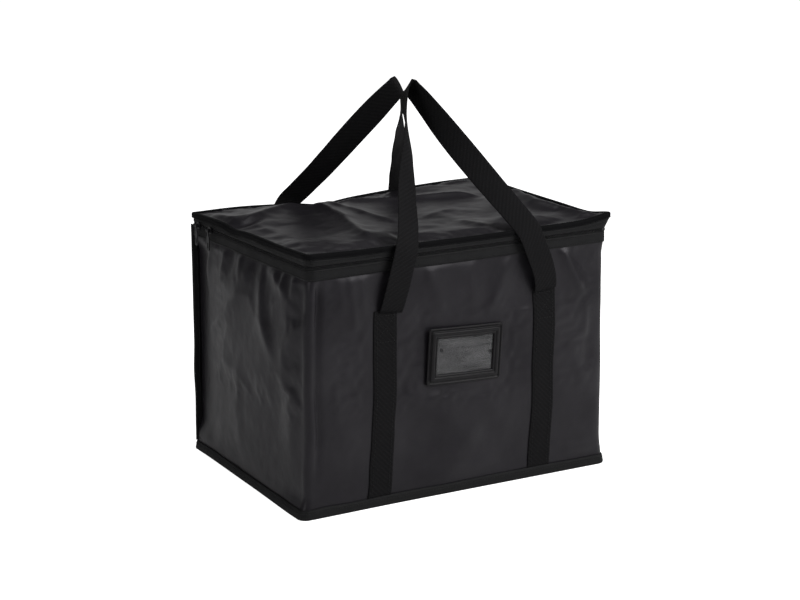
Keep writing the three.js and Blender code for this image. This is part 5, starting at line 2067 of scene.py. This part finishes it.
@dataclass
class Studio:
    """The floor, the light and the camera."""

    azimuth: float = -30.29
    elevation: float = 14.344
    distance: float = 3.4896
    focal_px: float = 2321.4
    aside: float = 0.0019
    aim: float = 0.2483
    picture_px: float = 800.0
    floor_glow: float = 0.90
    floor_near: float = 0.7
    floor_far: float = 2.6
    mirrored_glow: float = 0.16
    room_glow: float = 0.045
    lamp_aim: float = 0.24
    sensor: float = 36.0

    def build(self) -> None:
        """Sets up the studio."""
        bpy.context.scene.view_settings.view_transform = "Standard"
        self.camera()
        self.floor()
        self.world()
        self.lamps()

    def camera(self) -> None:
        """Places the camera where the photograph was taken from."""
        az, el = math.radians(self.azimuth), math.radians(self.elevation)
        back = Vector((math.sin(az) * math.cos(el), -math.cos(az) * math.cos(el), math.sin(el)))
        right = Vector((math.cos(az), math.sin(az), 0))
        up = back.cross(right)
        place = right * self.aside + Vector((0, 0, self.aim)) + back * self.distance
        lens = bpy.data.cameras.new("studio_camera")
        lens.sensor_width = self.sensor
        lens.lens = self.focal_px * self.sensor / self.picture_px
        eye = bpy.data.objects.new("studio_camera", lens)
        turn = Matrix((right, up, back)).transposed().to_4x4()
        eye.matrix_world = Matrix.Translation(place) @ turn
        bpy.context.scene.collection.objects.link(eye)
        bpy.context.scene.camera = eye

    def floor(self) -> None:
        """Lays a pale floor that keeps the bag's shadow."""
        places = np.array([(-8, -8, 0), (8, -8, 0), (8, 8, 0), (-8, 8, 0)], float)
        ground = mesh_object("studio_floor", places, np.array([(0, 1, 2, 3)]))
        bench = NodeBench("pale_floor")
        bench.set(Base_Color=(0.90, 0.90, 0.90, 1), Roughness=0.9, Specular_IOR_Level=0.1)
        path = bench.node("ShaderNodeLightPath")
        seen = bench.blend(path.outputs["Is Camera Ray"], path.outputs["Is Transmission Ray"], "MAXIMUM")
        reach = bench.node("ShaderNodeVectorMath", {0: bench.space_places()}, operation="LENGTH")
        rise = bench.node("ShaderNodeMapRange", {"Value": reach.outputs["Value"]}, From_Min=self.floor_near,
                          From_Max=self.floor_far, To_Min=self.floor_glow, To_Max=1.0)
        seen = bench.blend(seen, rise.outputs["Result"], "MULTIPLY")
        mirrored = bench.spread(path.outputs["Is Glossy Ray"], 0.0, self.mirrored_glow)
        strength = bench.blend(seen, mirrored, "MAXIMUM")
        glow = bench.node("ShaderNodeEmission", {"Strength": strength}, Color=(1, 1, 1, 1))
        lit = {0: bench.shader.outputs["BSDF"], 1: glow.outputs["Emission"]}
        both = bench.node("ShaderNodeAddShader", lit)
        bench.wire(both.outputs[0], bench.tree.nodes["Material Output"].inputs["Surface"])
        ground.data.materials.append(bench.material)

    def world(self) -> None:
        """Makes the room round the floor a plain soft grey."""
        world = bpy.data.worlds.new("studio_world")
        bpy.context.scene.world = world
        world.use_nodes = True
        ground = world.node_tree.nodes["Background"]
        ground.inputs["Color"].default_value = (1, 1, 1, 1)
        ground.inputs["Strength"].default_value = self.room_glow

    def lamps(self) -> None:
        """Hangs the soft boxes."""
        for name, place, size, power in (
            ("overhead_softbox", (0.25, 0.10, 1.90), (1.2, 0.8), 10.0),
            ("front_softbox", (1.60, -2.10, 1.80), (1.9, 1.6), 80.0),
            ("left_softbox", (-2.20, -0.80, 1.40), (0.8, 1.2), 20.0),
            ("rear_panel", (0.40, 3.00, 0.80), (4.6, 1.3), 10.0),
        ):
            light = bpy.data.lights.new(name, "AREA")
            light.shape = "RECTANGLE"
            light.size, light.size_y = size
            light.energy = power
            lamp = bpy.data.objects.new(name, light)
            aim = Vector((0, 0, self.lamp_aim)) - Vector(place)
            lamp.matrix_world = Matrix.Translation(place) @ aim.to_track_quat("-Z", "Y").to_matrix().to_4x4()
            bpy.context.scene.collection.objects.link(lamp)


def report(group: str, pieces: Sequence[Piece]) -> None:
    """Reports the pieces of a group."""
    for piece in pieces:
        LOG.info("%s: %s, %d faces", group, piece.name, len(piece.data.polygons))


def main() -> None:
    """Builds the bag and its studio, and reports each piece."""
    logging.basicConfig(level=logging.INFO, format="%(message)s")
    Studio().build()
    wardrobe = Wardrobe()
    body_sewing, lid_sewing = Sewing("body_stitches", "bag_body"), Sewing("lid_stitches", "lid")
    groups = {
        "bag body": BagBody(wardrobe, body_sewing),
        "insulation": Insulation(wardrobe, body_sewing),
        "zip": ZipRun(wardrobe, body_sewing, lid_sewing),
        "lid": Lid(wardrobe, lid_sewing),
        "webbing": Webbing(wardrobe, body_sewing),
        "label holder": LabelHolder(wardrobe),
    }
    for name, group in groups.items():
        group.build()
        report(name, group.pieces)
    report("stitches", [body_sewing.make(wardrobe), lid_sewing.make(wardrobe)])


if __name__ == "__main__":
    main()
